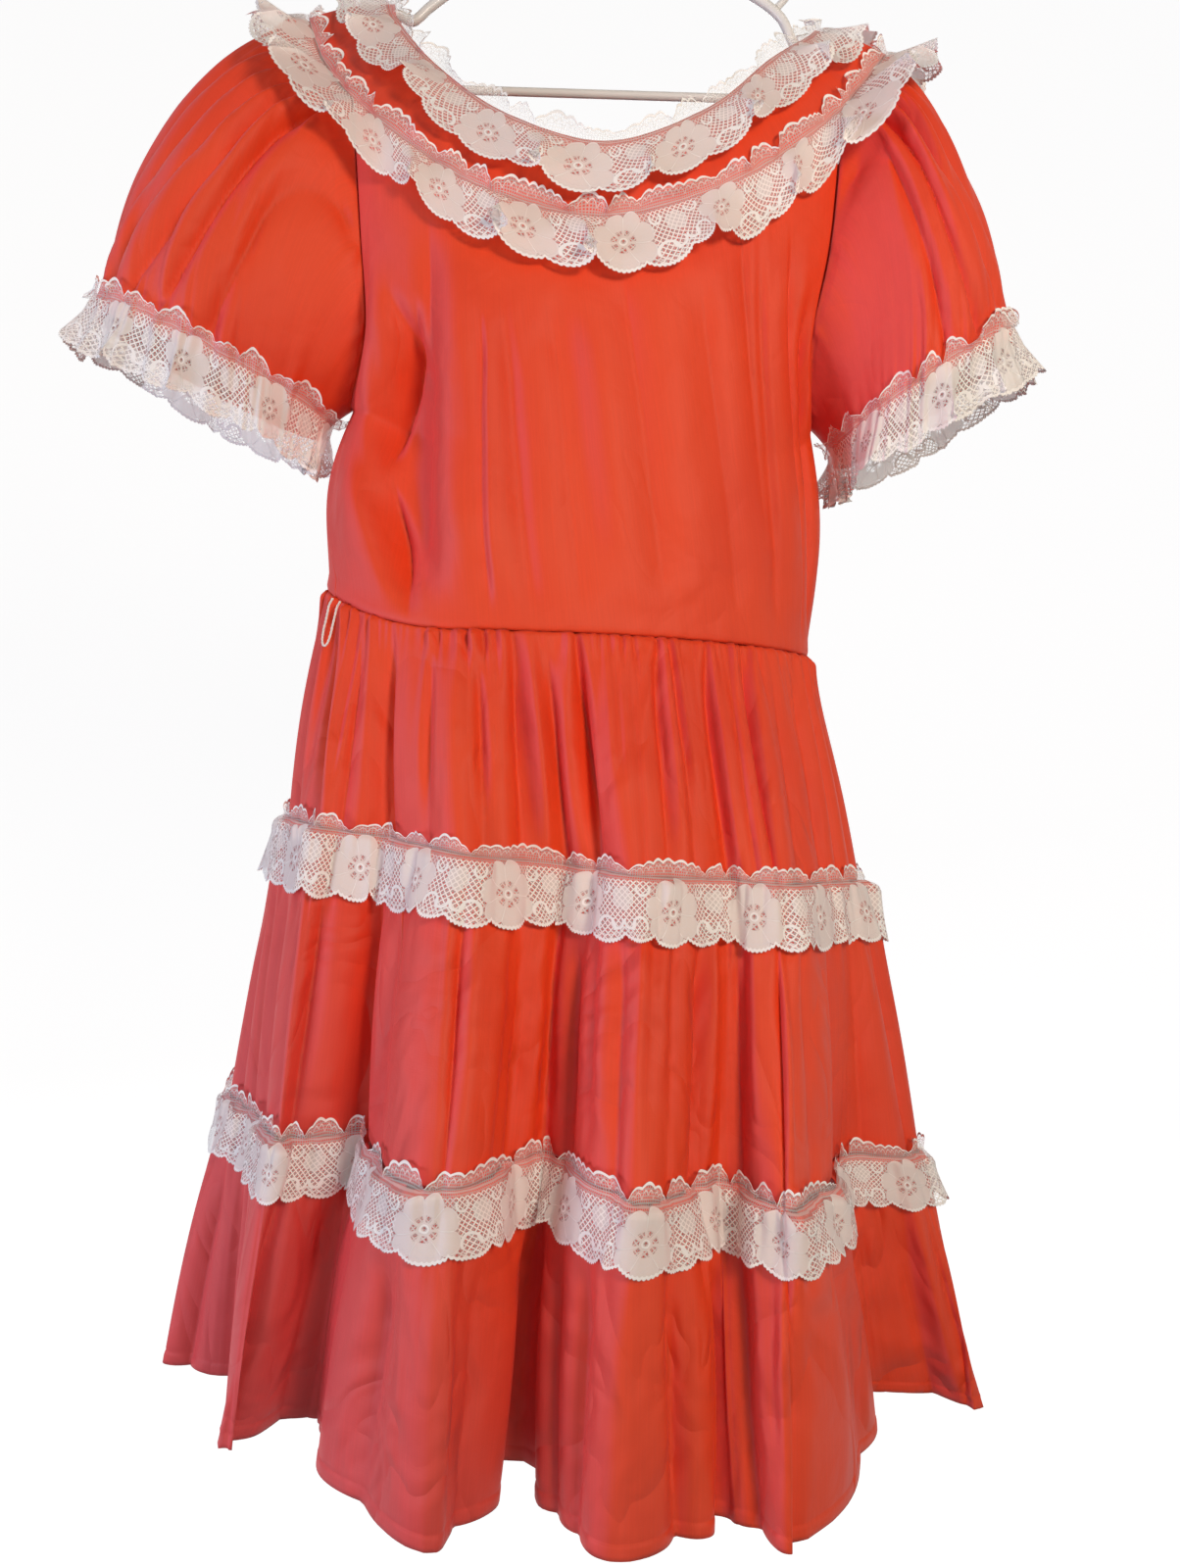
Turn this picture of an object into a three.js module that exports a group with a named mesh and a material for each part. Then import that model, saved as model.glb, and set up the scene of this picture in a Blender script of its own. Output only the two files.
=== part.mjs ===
// A square dance dress with a round yoke, short puff sleeves and a three-tier skirt, on its hanger.
// Sizes are in millimetres. +Z is up, +X is the wearer's left, -Y is the front.
// The origin is the inside top of the hanger's hook.
import * as THREE from "three";

// Driving sizes of the cloth
const CLOTH_WALL = 1.5;
const LACE_WALL = 1.1;
const SEAM_PULL = 0.22; // each piece stops this far short of a seam line
const LACE_CLEAR = 0.4; // between the cloth and the inside of a lace strip
const LACE_HEADER = 10; // height of the lace above its gathering stitches
const LACE_BAND = 36; // height of the lace below its gathering stitches

// Driving sizes of the skirt
const WAIST = {
  centreX: -10,
  halfWidth: 168,
  frontDepth: 97,
  backDepth: 70,
  turn: 8, // degrees that the front swings toward the wearer's left
  z: -572,
  hitch: 34, // how far the wearer's right side is hitched up
  hitchAngle: -98,
  hitchSpread: 70,
};
const COLUMNS_PER_FOLD = 4;
const GATHER = { top: 3.0, bottom: 0.7 }; // depth of the gathers at a tier's upper and lower seam
const TIER_BULGE = 4;

// Levels of the tier seams and of the hem: at the middle, and what is added at the wearer's right and left
const TIER_LEVELS = [
  { middle: -715, right: 28, left: -12 },
  { middle: -877, right: -8, left: -24 },
  { middle: -1062, right: 0, left: 0 },
];

// Large folds of the skirt, once round from the wearer's right side by way of the front. Rows are ridges and
// troughs in turn, from a ridge. The waist angle is in degrees from the front centre; the pairs are places on
// the two tier seams and the hem.
const SKIRT_FOLDS = [
  { waist: -98, tier1: [-205, 2], tier2: [-242, 0], hem: [-280, -12] },
  { waist: -80, tier1: [-192, -50], tier2: [-208, -58], hem: [-216, -46] },
  { waist: -64, tier1: [-164, -98], tier2: [-176, -126], hem: [-192, -140] },
  { waist: -47, tier1: [-120, -98], tier2: [-124, -100], hem: [-143, -84] },
  { waist: -30, tier1: [-70, -150], tier2: [-68, -216], hem: [-72, -220] },
  { waist: -10, tier1: [-10, -114], tier2: [-14, -142], hem: [-18, -138] },
  { waist: 8, tier1: [40, -156], tier2: [36, -218], hem: [38, -222] },
  { waist: 24, tier1: [86, -126], tier2: [84, -156], hem: [92, -176] },
  { waist: 40, tier1: [126, -130], tier2: [120, -200], hem: [132, -212] },
  { waist: 60, tier1: [166, -72], tier2: [168, -80], hem: [198, -34] },
  { waist: 79, tier1: [194, -28], tier2: [234, -50], hem: [274, -66] },
  { waist: 95, tier1: [178, 10], tier2: [206, 6], hem: [240, 8] },
  { waist: 108, tier1: [182, 52], tier2: [222, 62], hem: [256, 72] },
  { waist: 122, tier1: [150, 62], tier2: [174, 72], hem: [200, 82] },
  { waist: 138, tier1: [128, 100], tier2: [156, 124], hem: [178, 142] },
  { waist: 153, tier1: [98, 86], tier2: [115, 90], hem: [130, 96] },
  { waist: 168, tier1: [58, 116], tier2: [68, 140], hem: [78, 160] },
  { waist: 183, tier1: [18, 90], tier2: [22, 98], hem: [25, 104] },
  { waist: 198, tier1: [-24, 116], tier2: [-26, 140], hem: [-28, 160] },
  { waist: 212, tier1: [-62, 86], tier2: [-70, 94], hem: [-78, 100] },
  { waist: 226, tier1: [-98, 108], tier2: [-114, 132], hem: [-128, 152] },
  { waist: 238, tier1: [-134, 74], tier2: [-152, 80], hem: [-172, 86] },
  { waist: 248, tier1: [-164, 74], tier2: [-194, 86], hem: [-222, 98] },
  { waist: 256, tier1: [-180, 34], tier2: [-208, 34], hem: [-238, 34] },
];

const TILT_REACH = 250; // the distance from the middle over which a seam level changes by its full amount
const FOLD_ROUNDNESS = [0.2, 0.35, 0.75]; // of the folds at the two tier seams and at the hem

// Rows of each tier, as parts of its height. The second row is where the lace band on its seam ends.
const TIER_ROWS = [0, 0.2, 0.6, 1];

// Places of the side seams, counted in folds of the table above
const SIDE_SEAMS = [
  { from: 0.75, to: 11 },
  { from: 3.5, to: 9.75 },
  { from: 0.25, to: 11 },
];

// Driving sizes of the bodice
const SIDE_SEAM_ANGLES = { right: -72, left: 100 };
const ARMHOLE_ANGLE = 54; // where an armhole meets the yoke seam, in degrees from the front or back centre
const FRONT_COLUMNS = 32;
const BACK_COLUMNS = 20;
const ARMHOLE_ROWS = 6;
const SIDE_ROWS = 4;
const ARMHOLE_SHARE = 0.58; // part of a bodice edge that is armhole, the rest is side seam
const BUST_FULLNESS = 10;
const EDGE_FADE = 3.5; // how fast the pull of the side edges dies out toward the middle of a panel
const SIDE_SWELL = 12; // how far a side seam bows out between the underarm and the waist
const WAIST_FLATTENS = 0.88; // part of the bodice's height from which its folds die out

// Folds of the bodice front. Places run from 0 at the wearer's right edge to 1 at the left edge.
const BODICE_FOLDS = [
  { name: "deep fold", top: 0.14, waist: 0.19, depth: -20, width: 0.045, from: 0.28, to: 1.0 },
  { name: "side roll", top: 0.05, waist: 0.09, depth: 9, width: 0.05, from: 0.2, to: 0.95 },
  { name: "beside the fold", top: 0.25, waist: 0.28, depth: 7, width: 0.05, from: 0.1, to: 0.95 },
  { name: "right dart", top: 0.33, waist: 0.35, depth: -5, width: 0.03, from: 0.25, to: 1.05 },
  { name: "middle fold", top: 0.42, waist: 0.43, depth: -3, width: 0.04, from: 0.15, to: 0.95 },
  { name: "left dart", top: 0.76, waist: 0.71, depth: -4, width: 0.03, from: 0.1, to: 1.05 },
  { name: "left side roll", top: 0.9, waist: 0.86, depth: -5, width: 0.05, from: 0.2, to: 0.95 },
];

// Yoke seam, once round in equal steps from the back centre, by way of the wearer's right side
const YOKE_SEAM = [
  [-4, 76, -262],
  [-80, 72, -254],
  [-150, 56, -232],
  [-192, 31, -184],
  [-206, 0, -139],
  [-184, -34, -192],
  [-143, -65, -244],
  [-76, -85, -294],
  [2, -90, -313],
  [82, -86, -288],
  [142, -64, -238],
  [172, -34, -194],
  [196, 0, -152],
  [184, 31, -188],
  [146, 56, -230],
  [78, 72, -254],
];

// Neckline, in the same steps
const NECKLINE = [
  [-2, 70, -226],
  [-50, 66, -220],
  [-96, 50, -200],
  [-134, 24, -152],
  [-146, 0, -128],
  [-138, -24, -155],
  [-108, -50, -199],
  [-60, -76, -243],
  [4, -88, -265],
  [66, -76, -236],
  [108, -50, -188],
  [135, -24, -157],
  [146, 0, -138],
  [134, 24, -158],
  [98, 50, -198],
  [48, 66, -219],
];
const YOKE_BULGE = 2.5;

// Armholes of the two sides: points from the front join, under the arm, to the back join
const ARMHOLES = {
  right: [
    [-153, -60, -315],
    [-150, -50, -372],
    [-166, -4, -412],
    [-150, 42, -368],
    [-154, 54, -312],
  ],
  left: [
    [150, -56, -312],
    [142, -44, -368],
    [150, 4, -412],
    [140, 46, -366],
    [148, 56, -310],
  ],
};

// Sleeves: the cuff is an ellipse, and each pull is how far the cloth runs on from its edge before it turns
const SLEEVES = {
  right: {
    cuffOuter: [-346, 0, -355],
    cuffInner: [-190, 0, -428],
    cuffDepth: 62,
    capPull: { top: [-86, 0, -13], front: [-48, -38, 2], under: [-8, 0, -5], back: [-50, 30, 2] },
    cuffPull: { top: [1, 0, 85], front: [9, -38, 46], under: [6, 0, 4], back: [9, 30, 46] },
  },
  left: {
    cuffOuter: [286, 0, -359],
    cuffInner: [172, 0, -436],
    cuffDepth: 76,
    capPull: { top: [32, 0, -5], front: [40, -42, 0], under: [8, 0, -5], back: [42, 30, 2] },
    cuffPull: { top: [0, 0, 69], front: [-4, -34, 46], under: [-4, 0, 4], back: [-4, 26, 46] },
  },
};
const SLEEVE_ROWS = [0, 0.12, 0.26, 0.45, 0.65, 0.84, 1];
const CAP_COLUMNS = 24;
const CAP_STEP = (180 - 2 * ARMHOLE_ANGLE) / CAP_COLUMNS; // degrees of the yoke seam between cap columns
const SLEEVE_COLUMNS = 36;
const SLEEVE_GATHERS = 9;
const CAP_GATHER = 4.5;
const CAP_GATHER_UNDER = 0.35; // share of the cap's gathers that is left under the arm
const CUFF_GATHER = 3;

// Lace strips: how far out the header, the stitches and the lower edge stand, and what a wave adds
const NECK_LACE = { columns: 72, waves: 12, header: 2.5, stitch: 0.6, standOut: 9, wave: 8 };
const NECK_DROP = { stitch: 3, edge: 25 }; // of the stitches and of the lower edge below the neckline
const YOKE_LACE = { columns: 90, waves: 18, phase: 0.3, header: 2.5, clear: 0.4, stitch: 0.6, standOut: 8, wave: 7 };
const YOKE_LACE_LIFT = { sleeve: 8, corner: 8 }; // added where the band lies on a sleeve, and beside it
const SLEEVE_SPREAD = 12; // degrees over which the yoke lace goes over from the bodice to a sleeve
const TIER_LACE = { waves: 24, phase: 0.2, clear: 1, header: 1.5, stitch: 0, standOut: 2.1, wave: 2.2 };
const SLEEVE_LACE = { waves: 9, clear: 1.5, header: 3, stitch: 0.6, standOut: 4, wave: 7, beyond: 24 };
const SLANT_LIMIT = 0.5; // the most that a slanting step of the lace is lengthened is one over this

// Driving sizes of the hanger
const ARM_RADIUS = 3.5;
const BAR_RADIUS = 3;
const HOOK_RADIUS = 2.5;
const HOOK_INSIDE = 20; // radius of the hook's inside
const HANGER_HALF_SPAN = 190;
const HANGER_TOP = -82;
const BAR_LEVEL = -185;
const PART_GAP = 0.3;
const RIDGE_CLEAR = 1.3;
const BAR_HALF_LENGTH = 184;
const HOOK_ARC = { from: -50, to: 205, step: 25.5 };
const PEG = { radius: 2.5, height: 9, x: 115 };
const ARM_STEPS = 60;

// The arms between the hub and the neckline, and from their tips round to the bar
const ARM_FROM_HUB = [
  { x: 60, drop: 14 },
  { x: 100, drop: 30 },
  { x: 122, drop: 46 },
];
const ARM_TO_BAR = [
  { x: 198, rise: 12 },
  { x: 194, rise: 3 },
  { x: 189, rise: 0 },
];

// Driving sizes of the belt loop. Its two legs leave the waist seam at places round the skirt's folds.
const LOOP_RADIUS = 0.8;
const LOOP_STEPS = 20;
const LOOP_SIDES = 8;
const LOOP = { from: 1.66, to: 1.86, leg: 23, round: 9, clear: 3, seamClear: 1.6, seamDrop: 3 };
const LOOP_LEG_ROWS = 5;
const LOOP_ROUND_ROWS = 5;

const degree = Math.PI / 180;
const point = (values) => new THREE.Vector3(...values);
const mix = (a, b, t) => a.clone().lerp(b, t);
const up = new THREE.Vector3(0, 0, 1);

const clothMaterial = new THREE.MeshStandardMaterial({ color: 0xdc4a2c, roughness: 0.85, metalness: 0 });
const laceMaterial = new THREE.MeshStandardMaterial({ color: 0xf6ece6, roughness: 0.8, metalness: 0 });
const plasticMaterial = new THREE.MeshStandardMaterial({ color: 0xe9e9e6, roughness: 0.4, metalness: 0 });
const threadMaterial = new THREE.MeshStandardMaterial({ color: 0xf4eee8, roughness: 0.9, metalness: 0 });

// A smooth closed curve through a table of points, with its parameter counted in rows of the table.
function closedCurve(table) {
  const points = table.map(point);
  const count = points.length;
  return (at) => {
    const base = Math.floor(at);
    const t = at - base;
    const [p0, p1, p2, p3] = [-1, 0, 1, 2].map((k) => points[(((base + k) % count) + count) % count]);
    const result = new THREE.Vector3();
    for (const axis of ["x", "y", "z"]) {
      const a = 2 * p1[axis];
      const b = p2[axis] - p0[axis];
      const c = 2 * p0[axis] - 5 * p1[axis] + 4 * p2[axis] - p3[axis];
      const d = -p0[axis] + 3 * p1[axis] - 3 * p2[axis] + p3[axis];
      result[axis] = 0.5 * (a + b * t + c * t * t + d * t * t * t);
    }
    return result;
  };
}

// The outward normal of a surface given as a function of a column and a row, with rows running down.
function surfaceNormal(surface, column, row, columnStep, rowStep) {
  const top = Math.max(0, row - rowStep);
  const bottom = Math.min(1, row + rowStep);
  const across = surface(column + columnStep, row).sub(surface(column - columnStep, row));
  const down = surface(column, bottom).sub(surface(column, top));
  return down.cross(across).normalize();
}

// A cloth wall from grids of outer points and unit normals. Rows run down and columns run anticlockwise
// seen from above. Edges that are sewn to a neighbour are pulled back from the seam.
// Each pull is a multiple of the usual distance.
function wallGeometry(outer, normals, thickness, options = {}) {
  const { closed = false, pullTop = 0, pullBottom = 0, pullSides = 0 } = options;
  const rows = outer.length;
  const columns = outer[0].length;
  const inside = (j, i) => outer[j][i].clone().addScaledVector(normals[j][i], -thickness);
  const inner = outer.map((line, j) => line.map((_, i) => inside(j, i)));
  const moved = outer.map((line) => line.map((p) => p.clone()));
  const pull = (j, i, direction, share) => {
    const step = direction.setLength(SEAM_PULL * share);
    moved[j][i].add(step);
    inner[j][i].add(step);
  };
  const along = (j, i) => {
    const next = closed ? (i + 1) % columns : Math.min(i + 1, columns - 1);
    const before = closed ? (i + columns - 1) % columns : Math.max(i - 1, 0);
    return outer[j][next].clone().sub(outer[j][before]);
  };
  const down = (j, i) => outer[Math.min(j + 1, rows - 1)][i].clone().sub(outer[Math.max(j - 1, 0)][i]);
  for (let i = 0; i < columns; i++) {
    const last = rows - 1;
    if (pullTop > 0) pull(0, i, along(0, i).cross(normals[0][i]), pullTop);
    if (pullBottom > 0) pull(last, i, along(last, i).cross(normals[last][i]).negate(), pullBottom);
  }
  for (let j = 0; j < rows && pullSides > 0; j++) {
    const last = columns - 1;
    pull(j, 0, normals[j][0].clone().cross(down(j, 0)), pullSides);
    pull(j, last, normals[j][last].clone().cross(down(j, last)).negate(), pullSides);
  }
  const positions = [...moved.flat(), ...inner.flat()].flatMap((p) => p.toArray());
  const indices = [];
  const quad = (a, b, c, d) => indices.push(a, b, c, a, c, d);
  const out = (j, i) => j * columns + (i % columns);
  const ins = (j, i) => rows * columns + out(j, i);
  const steps = closed ? columns : columns - 1;
  for (let j = 0; j < rows - 1; j++) {
    for (let i = 0; i < steps; i++) {
      quad(out(j, i), out(j + 1, i), out(j + 1, i + 1), out(j, i + 1));
      quad(ins(j, i), ins(j, i + 1), ins(j + 1, i + 1), ins(j + 1, i));
    }
  }
  for (let i = 0; i < steps; i++) {
    const last = rows - 1;
    quad(out(0, i), out(0, i + 1), ins(0, i + 1), ins(0, i));
    quad(out(last, i + 1), out(last, i), ins(last, i), ins(last, i + 1));
  }
  for (let j = 0; j < rows - 1 && !closed; j++) {
    const last = columns - 1;
    quad(out(j, 0), ins(j, 0), ins(j + 1, 0), out(j + 1, 0));
    quad(out(j, last), out(j + 1, last), ins(j + 1, last), ins(j, last));
  }
  const geometry = new THREE.BufferGeometry();
  geometry.setAttribute("position", new THREE.Float32BufferAttribute(positions, 3));
  geometry.setIndex(indices);
  geometry.computeVertexNormals();
  return geometry;
}

const dress = new THREE.Group();
dress.name = "square_dance_dress";

function addMesh(name, geometry, material) {
  const mesh = new THREE.Mesh(geometry, material);
  mesh.name = name;
  dress.add(mesh);
}

// Waist seam

function waistPoint(angle) {
  const a = angle * degree;
  const depth = Math.cos(a) > 0 ? WAIST.frontDepth : WAIST.backDepth;
  const around = ((((angle - WAIST.hitchAngle + 180) % 360) + 360) % 360) - 180;
  const near = Math.min(1, Math.abs(around) / WAIST.hitchSpread);
  const lift = WAIST.hitch * Math.cos((near * Math.PI) / 2) ** 2;
  return new THREE.Vector3(WAIST.halfWidth * Math.sin(a), -depth * Math.cos(a), WAIST.z + lift)
    .applyAxisAngle(up, WAIST.turn * degree)
    .add(new THREE.Vector3(WAIST.centreX, 0, 0));
}

function waistNormal(angle) {
  const along = waistPoint(angle + 1).sub(waistPoint(angle - 1));
  return new THREE.Vector3(along.y, -along.x, 0).normalize();
}

// Skirt

const foldCount = SKIRT_FOLDS.length;
const skirtColumns = foldCount * COLUMNS_PER_FOLD;

function waistAngle(at) {
  const base = Math.floor(at);
  const row = (k) => {
    const wrapped = ((k % foldCount) + foldCount) % foldCount;
    return SKIRT_FOLDS[wrapped].waist + 360 * Math.floor(k / foldCount);
  };
  return THREE.MathUtils.lerp(row(base), row(base + 1), at - base);
}

// A ring through the table's ridges and troughs. From a ridge the cloth turns away slowly at first and
// then dives into the trough, so a fold is a round lobe.
// The roundness runs from 0, even waves, to 1, half ellipses.
function foldRing(seam, level, roundness) {
  return (at) => {
    const base = Math.floor(at);
    const row = (k) => SKIRT_FOLDS[((k % foldCount) + foldCount) % foldCount][seam];
    const fromRidge = base % 2 === 0;
    const t = fromRidge ? at - base : 1 - (at - base);
    const ridge = new THREE.Vector2(...row(fromRidge ? base : base + 1));
    const trough = new THREE.Vector2(...row(fromRidge ? base + 1 : base));
    const radial = ridge.clone().add(trough).normalize();
    const step = trough.sub(ridge);
    const inward = radial.clone().multiplyScalar(step.dot(radial));
    const sideways = step.clone().sub(inward);
    const soft = (1 - Math.cos(Math.PI * t)) / 2;
    const alongShare = THREE.MathUtils.lerp(t, Math.sin((Math.PI * t) / 2), roundness);
    const inwardShare = THREE.MathUtils.lerp(soft, 1 - Math.cos((Math.PI * t) / 2), roundness);
    const place = ridge.addScaledVector(sideways, alongShare).addScaledVector(inward, inwardShare);
    const tilt = place.x < 0 ? -level.right * place.x : level.left * place.x;
    return new THREE.Vector3(place.x, place.y, level.middle + tilt / TILT_REACH);
  };
}

const SEAM_NAMES = ["tier1", "tier2", "hem"];
const seamCurves = SEAM_NAMES.map((seam, k) => foldRing(seam, TIER_LEVELS[k], FOLD_ROUNDNESS[k]));

// The ring that a tier starts from, tier 0 from the waist, without gathers.
function skirtRing(k, at) {
  return k === 0 ? waistPoint(waistAngle(at)) : seamCurves[k - 1](at);
}

function ringNormal(k, at) {
  const along = skirtRing(k, at + 0.1).sub(skirtRing(k, at - 0.1));
  return new THREE.Vector3(along.y, -along.x, 0).normalize();
}

function tierNormal(k, at, v) {
  return mix(ringNormal(k, at), ringNormal(k + 1, at), v).normalize();
}

function gatherWave(at) {
  return 0.5 - 0.5 * Math.cos(2 * Math.PI * at);
}

function tierPoint(k, at, v) {
  const base = mix(skirtRing(k, at), skirtRing(k + 1, at), v);
  const depth = THREE.MathUtils.lerp(GATHER.top, GATHER.bottom, Math.min(1, v * 1.4));
  const out = TIER_BULGE * Math.sin(Math.PI * v) + depth * gatherWave(at + 0.37 * k);
  return base.addScaledVector(tierNormal(k, at, v), out);
}

function tierGrid(k, from, to) {
  const first = Math.round(from * COLUMNS_PER_FOLD);
  const last = Math.round(to * COLUMNS_PER_FOLD);
  const places = Array.from({ length: last - first + 1 }, (_, i) => (first + i) / COLUMNS_PER_FOLD);
  return {
    points: TIER_ROWS.map((v) => places.map((at) => tierPoint(k, at, v))),
    normals: TIER_ROWS.map((v) => places.map((at) => tierNormal(k, at, v))),
  };
}

for (let k = 0; k < SIDE_SEAMS.length; k++) {
  const { from, to } = SIDE_SEAMS[k];
  const edges = { pullTop: 1, pullBottom: k < 2 ? 1 : 0, pullSides: 1 };
  const panels = { front: tierGrid(k, from, to), back: tierGrid(k, to, from + foldCount) };
  for (const [name, grid] of Object.entries(panels)) {
    const wall = wallGeometry(grid.points, grid.normals, CLOTH_WALL, edges);
    addMesh(`skirt_tier_${k + 1}_${name}`, wall, clothMaterial);
  }
}

// Yoke

const ringStep = 360 / YOKE_SEAM.length;
const yokeSeamCurve = closedCurve(YOKE_SEAM);
const necklineCurve = closedCurve(NECKLINE);

// Angles run from the front centre, and toward the wearer's left they are positive.
const yokeSeam = (angle) => yokeSeamCurve((angle + 180) / ringStep);
const neckline = (angle) => necklineCurve((angle + 180) / ringStep);

function yokePlain(angle, v) {
  return mix(neckline(angle), yokeSeam(angle), v);
}

function yokePoint(angle, v) {
  const normal = surfaceNormal(yokePlain, angle, v, 2, 0.05);
  return yokePlain(angle, v).addScaledVector(normal, YOKE_BULGE * Math.sin(Math.PI * v));
}

const yokeNormal = (angle, v) => surfaceNormal(yokePlain, angle, v, 2, 0.05);
const yokeSeamNormal = (angle) => yokeNormal(angle, 1);

const YOKE_ROWS = [0, 0.5, 1];

function yokeAngles(from, to) {
  const angles = [];
  for (let angle = from; angle <= to + 0.01; ) {
    angles.push(angle);
    const fromFront = Math.abs(((((angle + 1 + 180) % 360) + 360) % 360) - 180);
    const besideSleeve = fromFront > ARMHOLE_ANGLE && fromFront < 180 - ARMHOLE_ANGLE;
    angle += besideSleeve ? 3 : 6;
  }
  return angles;
}

for (const [name, from, to] of [
  ["yoke_front", -90, 90],
  ["yoke_back", 90, 270],
]) {
  const angles = yokeAngles(from, to);
  const points = YOKE_ROWS.map((v) => angles.map((angle) => yokePoint(angle, v)));
  const normals = YOKE_ROWS.map((v) => angles.map((angle) => yokeNormal(angle, v)));
  addMesh(name, wallGeometry(points, normals, CLOTH_WALL, { pullBottom: 1.3, pullSides: 1 }), clothMaterial);
}

// Armholes, from the front join at 0 to the back join at 1

function armholeCurve(side) {
  const sign = side === "right" ? -1 : 1;
  const ends = [yokeSeam(sign * ARMHOLE_ANGLE), yokeSeam(sign * (180 - ARMHOLE_ANGLE))];
  const points = [ends[0], ...ARMHOLES[side].map(point), ends[1]];
  return new THREE.CatmullRomCurve3(points, false, "centripetal");
}

const armholeCurves = { right: armholeCurve("right"), left: armholeCurve("left") };

// The underarm point is the middle of the armhole's control points, so its place along the curve is 0.5.
const armholePoint = (side, t) => armholeCurves[side].getPoint(t);

function armholeNormal(side, t) {
  const sign = side === "right" ? -1 : 1;
  const stations = [
    yokeSeamNormal(sign * ARMHOLE_ANGLE),
    point([0.5 * sign, -0.85, -0.05]),
    point([0.8 * sign, 0, -0.6]),
    point([0.5 * sign, 0.85, -0.05]),
    yokeSeamNormal(sign * (180 - ARMHOLE_ANGLE)),
  ];
  const at = t * (stations.length - 1);
  const base = Math.min(stations.length - 2, Math.floor(at));
  return mix(stations[base], stations[base + 1], at - base).normalize();
}

// Side seam, from the underarm at 0 to the waist at 1

function sideSeamPoint(side, s) {
  const start = armholePoint(side, 0.5);
  const end = waistPoint(SIDE_SEAM_ANGLES[side]);
  const sign = side === "right" ? -1 : 1;
  const swell = SIDE_SWELL * Math.sin(Math.PI * Math.min(1, s * 1.1)) * sign;
  return mix(start, end, s).add(new THREE.Vector3(swell, 0, 0));
}

function sideSeamNormal(side, s) {
  return mix(armholeNormal(side, 0.5), waistNormal(SIDE_SEAM_ANGLES[side]), s).normalize();
}

// A side edge of a bodice panel, from the yoke seam at 0 to the waist at 1.
function bodiceEdge(side, half, v, onArmhole, onSeam) {
  if (v > ARMHOLE_SHARE) return onSeam(side, (v - ARMHOLE_SHARE) / (1 - ARMHOLE_SHARE));
  const share = (0.5 * v) / ARMHOLE_SHARE;
  return onArmhole(side, half === "front" ? share : 1 - share);
}

const edgePoint = (side, half, v) => bodiceEdge(side, half, v, armholePoint, sideSeamPoint);
const edgeNormal = (side, half, v) => bodiceEdge(side, half, v, armholeNormal, sideSeamNormal);

// Front and back bodice panels. Columns run from 0 to 1 between the side edges.
const PANELS = {
  front: {
    sides: ["right", "left"],
    topAngles: [-ARMHOLE_ANGLE, ARMHOLE_ANGLE],
    waistAngles: [SIDE_SEAM_ANGLES.right, SIDE_SEAM_ANGLES.left],
    columns: FRONT_COLUMNS,
    folds: BODICE_FOLDS,
  },
  back: {
    sides: ["left", "right"],
    topAngles: [180 - ARMHOLE_ANGLE, 180 + ARMHOLE_ANGLE],
    waistAngles: [SIDE_SEAM_ANGLES.left, SIDE_SEAM_ANGLES.right + 360],
    columns: BACK_COLUMNS,
    folds: [],
  },
};

function bodicePlain(half, u, v) {
  const { sides, topAngles, waistAngles } = PANELS[half];
  const top = yokeSeam(THREE.MathUtils.lerp(...topAngles, u));
  const bottom = waistPoint(THREE.MathUtils.lerp(...waistAngles, u));
  const surface = mix(top, bottom, v);
  sides.forEach((side, k) => {
    const straight = mix(yokeSeam(topAngles[k]), waistPoint(waistAngles[k]), v);
    const nearness = (k === 0 ? 1 - u : u) ** EDGE_FADE;
    surface.addScaledVector(edgePoint(side, half, v).sub(straight), nearness);
  });
  return surface;
}

// Rises from 0 to 1 after the first place and falls back to 0 before the last.
function between(v, from, to, soft) {
  const { smoothstep } = THREE.MathUtils;
  return smoothstep(v, from, from + soft) * (1 - smoothstep(v, to - soft, to));
}

function bodicePoint(half, u, v) {
  const base = bodicePlain(half, u, v);
  const inside = Math.sin(Math.PI * THREE.MathUtils.clamp(u, 0, 1)) * Math.sin(Math.PI * v);
  let out = BUST_FULLNESS * inside;
  for (const fold of PANELS[half].folds) {
    const middle = THREE.MathUtils.lerp(fold.top, fold.waist, v);
    const across = Math.exp(-(((u - middle) / fold.width) ** 2));
    out += fold.depth * across * between(v, fold.from, fold.to, 0.2) * between(u, 0, 1, 0.05);
  }
  const waistShare = THREE.MathUtils.smoothstep(v, WAIST_FLATTENS, 1);
  const outward = new THREE.Vector3(base.x * 0.25, half === "front" ? -90 : 90, 0).normalize();
  return base.addScaledVector(outward, out * (1 - waistShare));
}

function bodiceNormal(half, u, v) {
  const { sides, topAngles, waistAngles } = PANELS[half];
  if (v === 0) return yokeSeamNormal(THREE.MathUtils.lerp(...topAngles, u));
  if (v === 1) return waistNormal(THREE.MathUtils.lerp(...waistAngles, u));
  if (u === 0) return edgeNormal(sides[0], half, v);
  if (u === 1) return edgeNormal(sides[1], half, v);
  const surface = (column, row) => bodicePoint(half, THREE.MathUtils.clamp(column, 0, 1), row);
  return surfaceNormal(surface, u, v, 0.01, 0.02);
}

const bodiceRows = [
  ...Array.from({ length: ARMHOLE_ROWS }, (_, j) => (ARMHOLE_SHARE * j) / ARMHOLE_ROWS),
  ...Array.from({ length: SIDE_ROWS + 1 }, (_, j) => ARMHOLE_SHARE + ((1 - ARMHOLE_SHARE) * j) / SIDE_ROWS),
];

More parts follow.
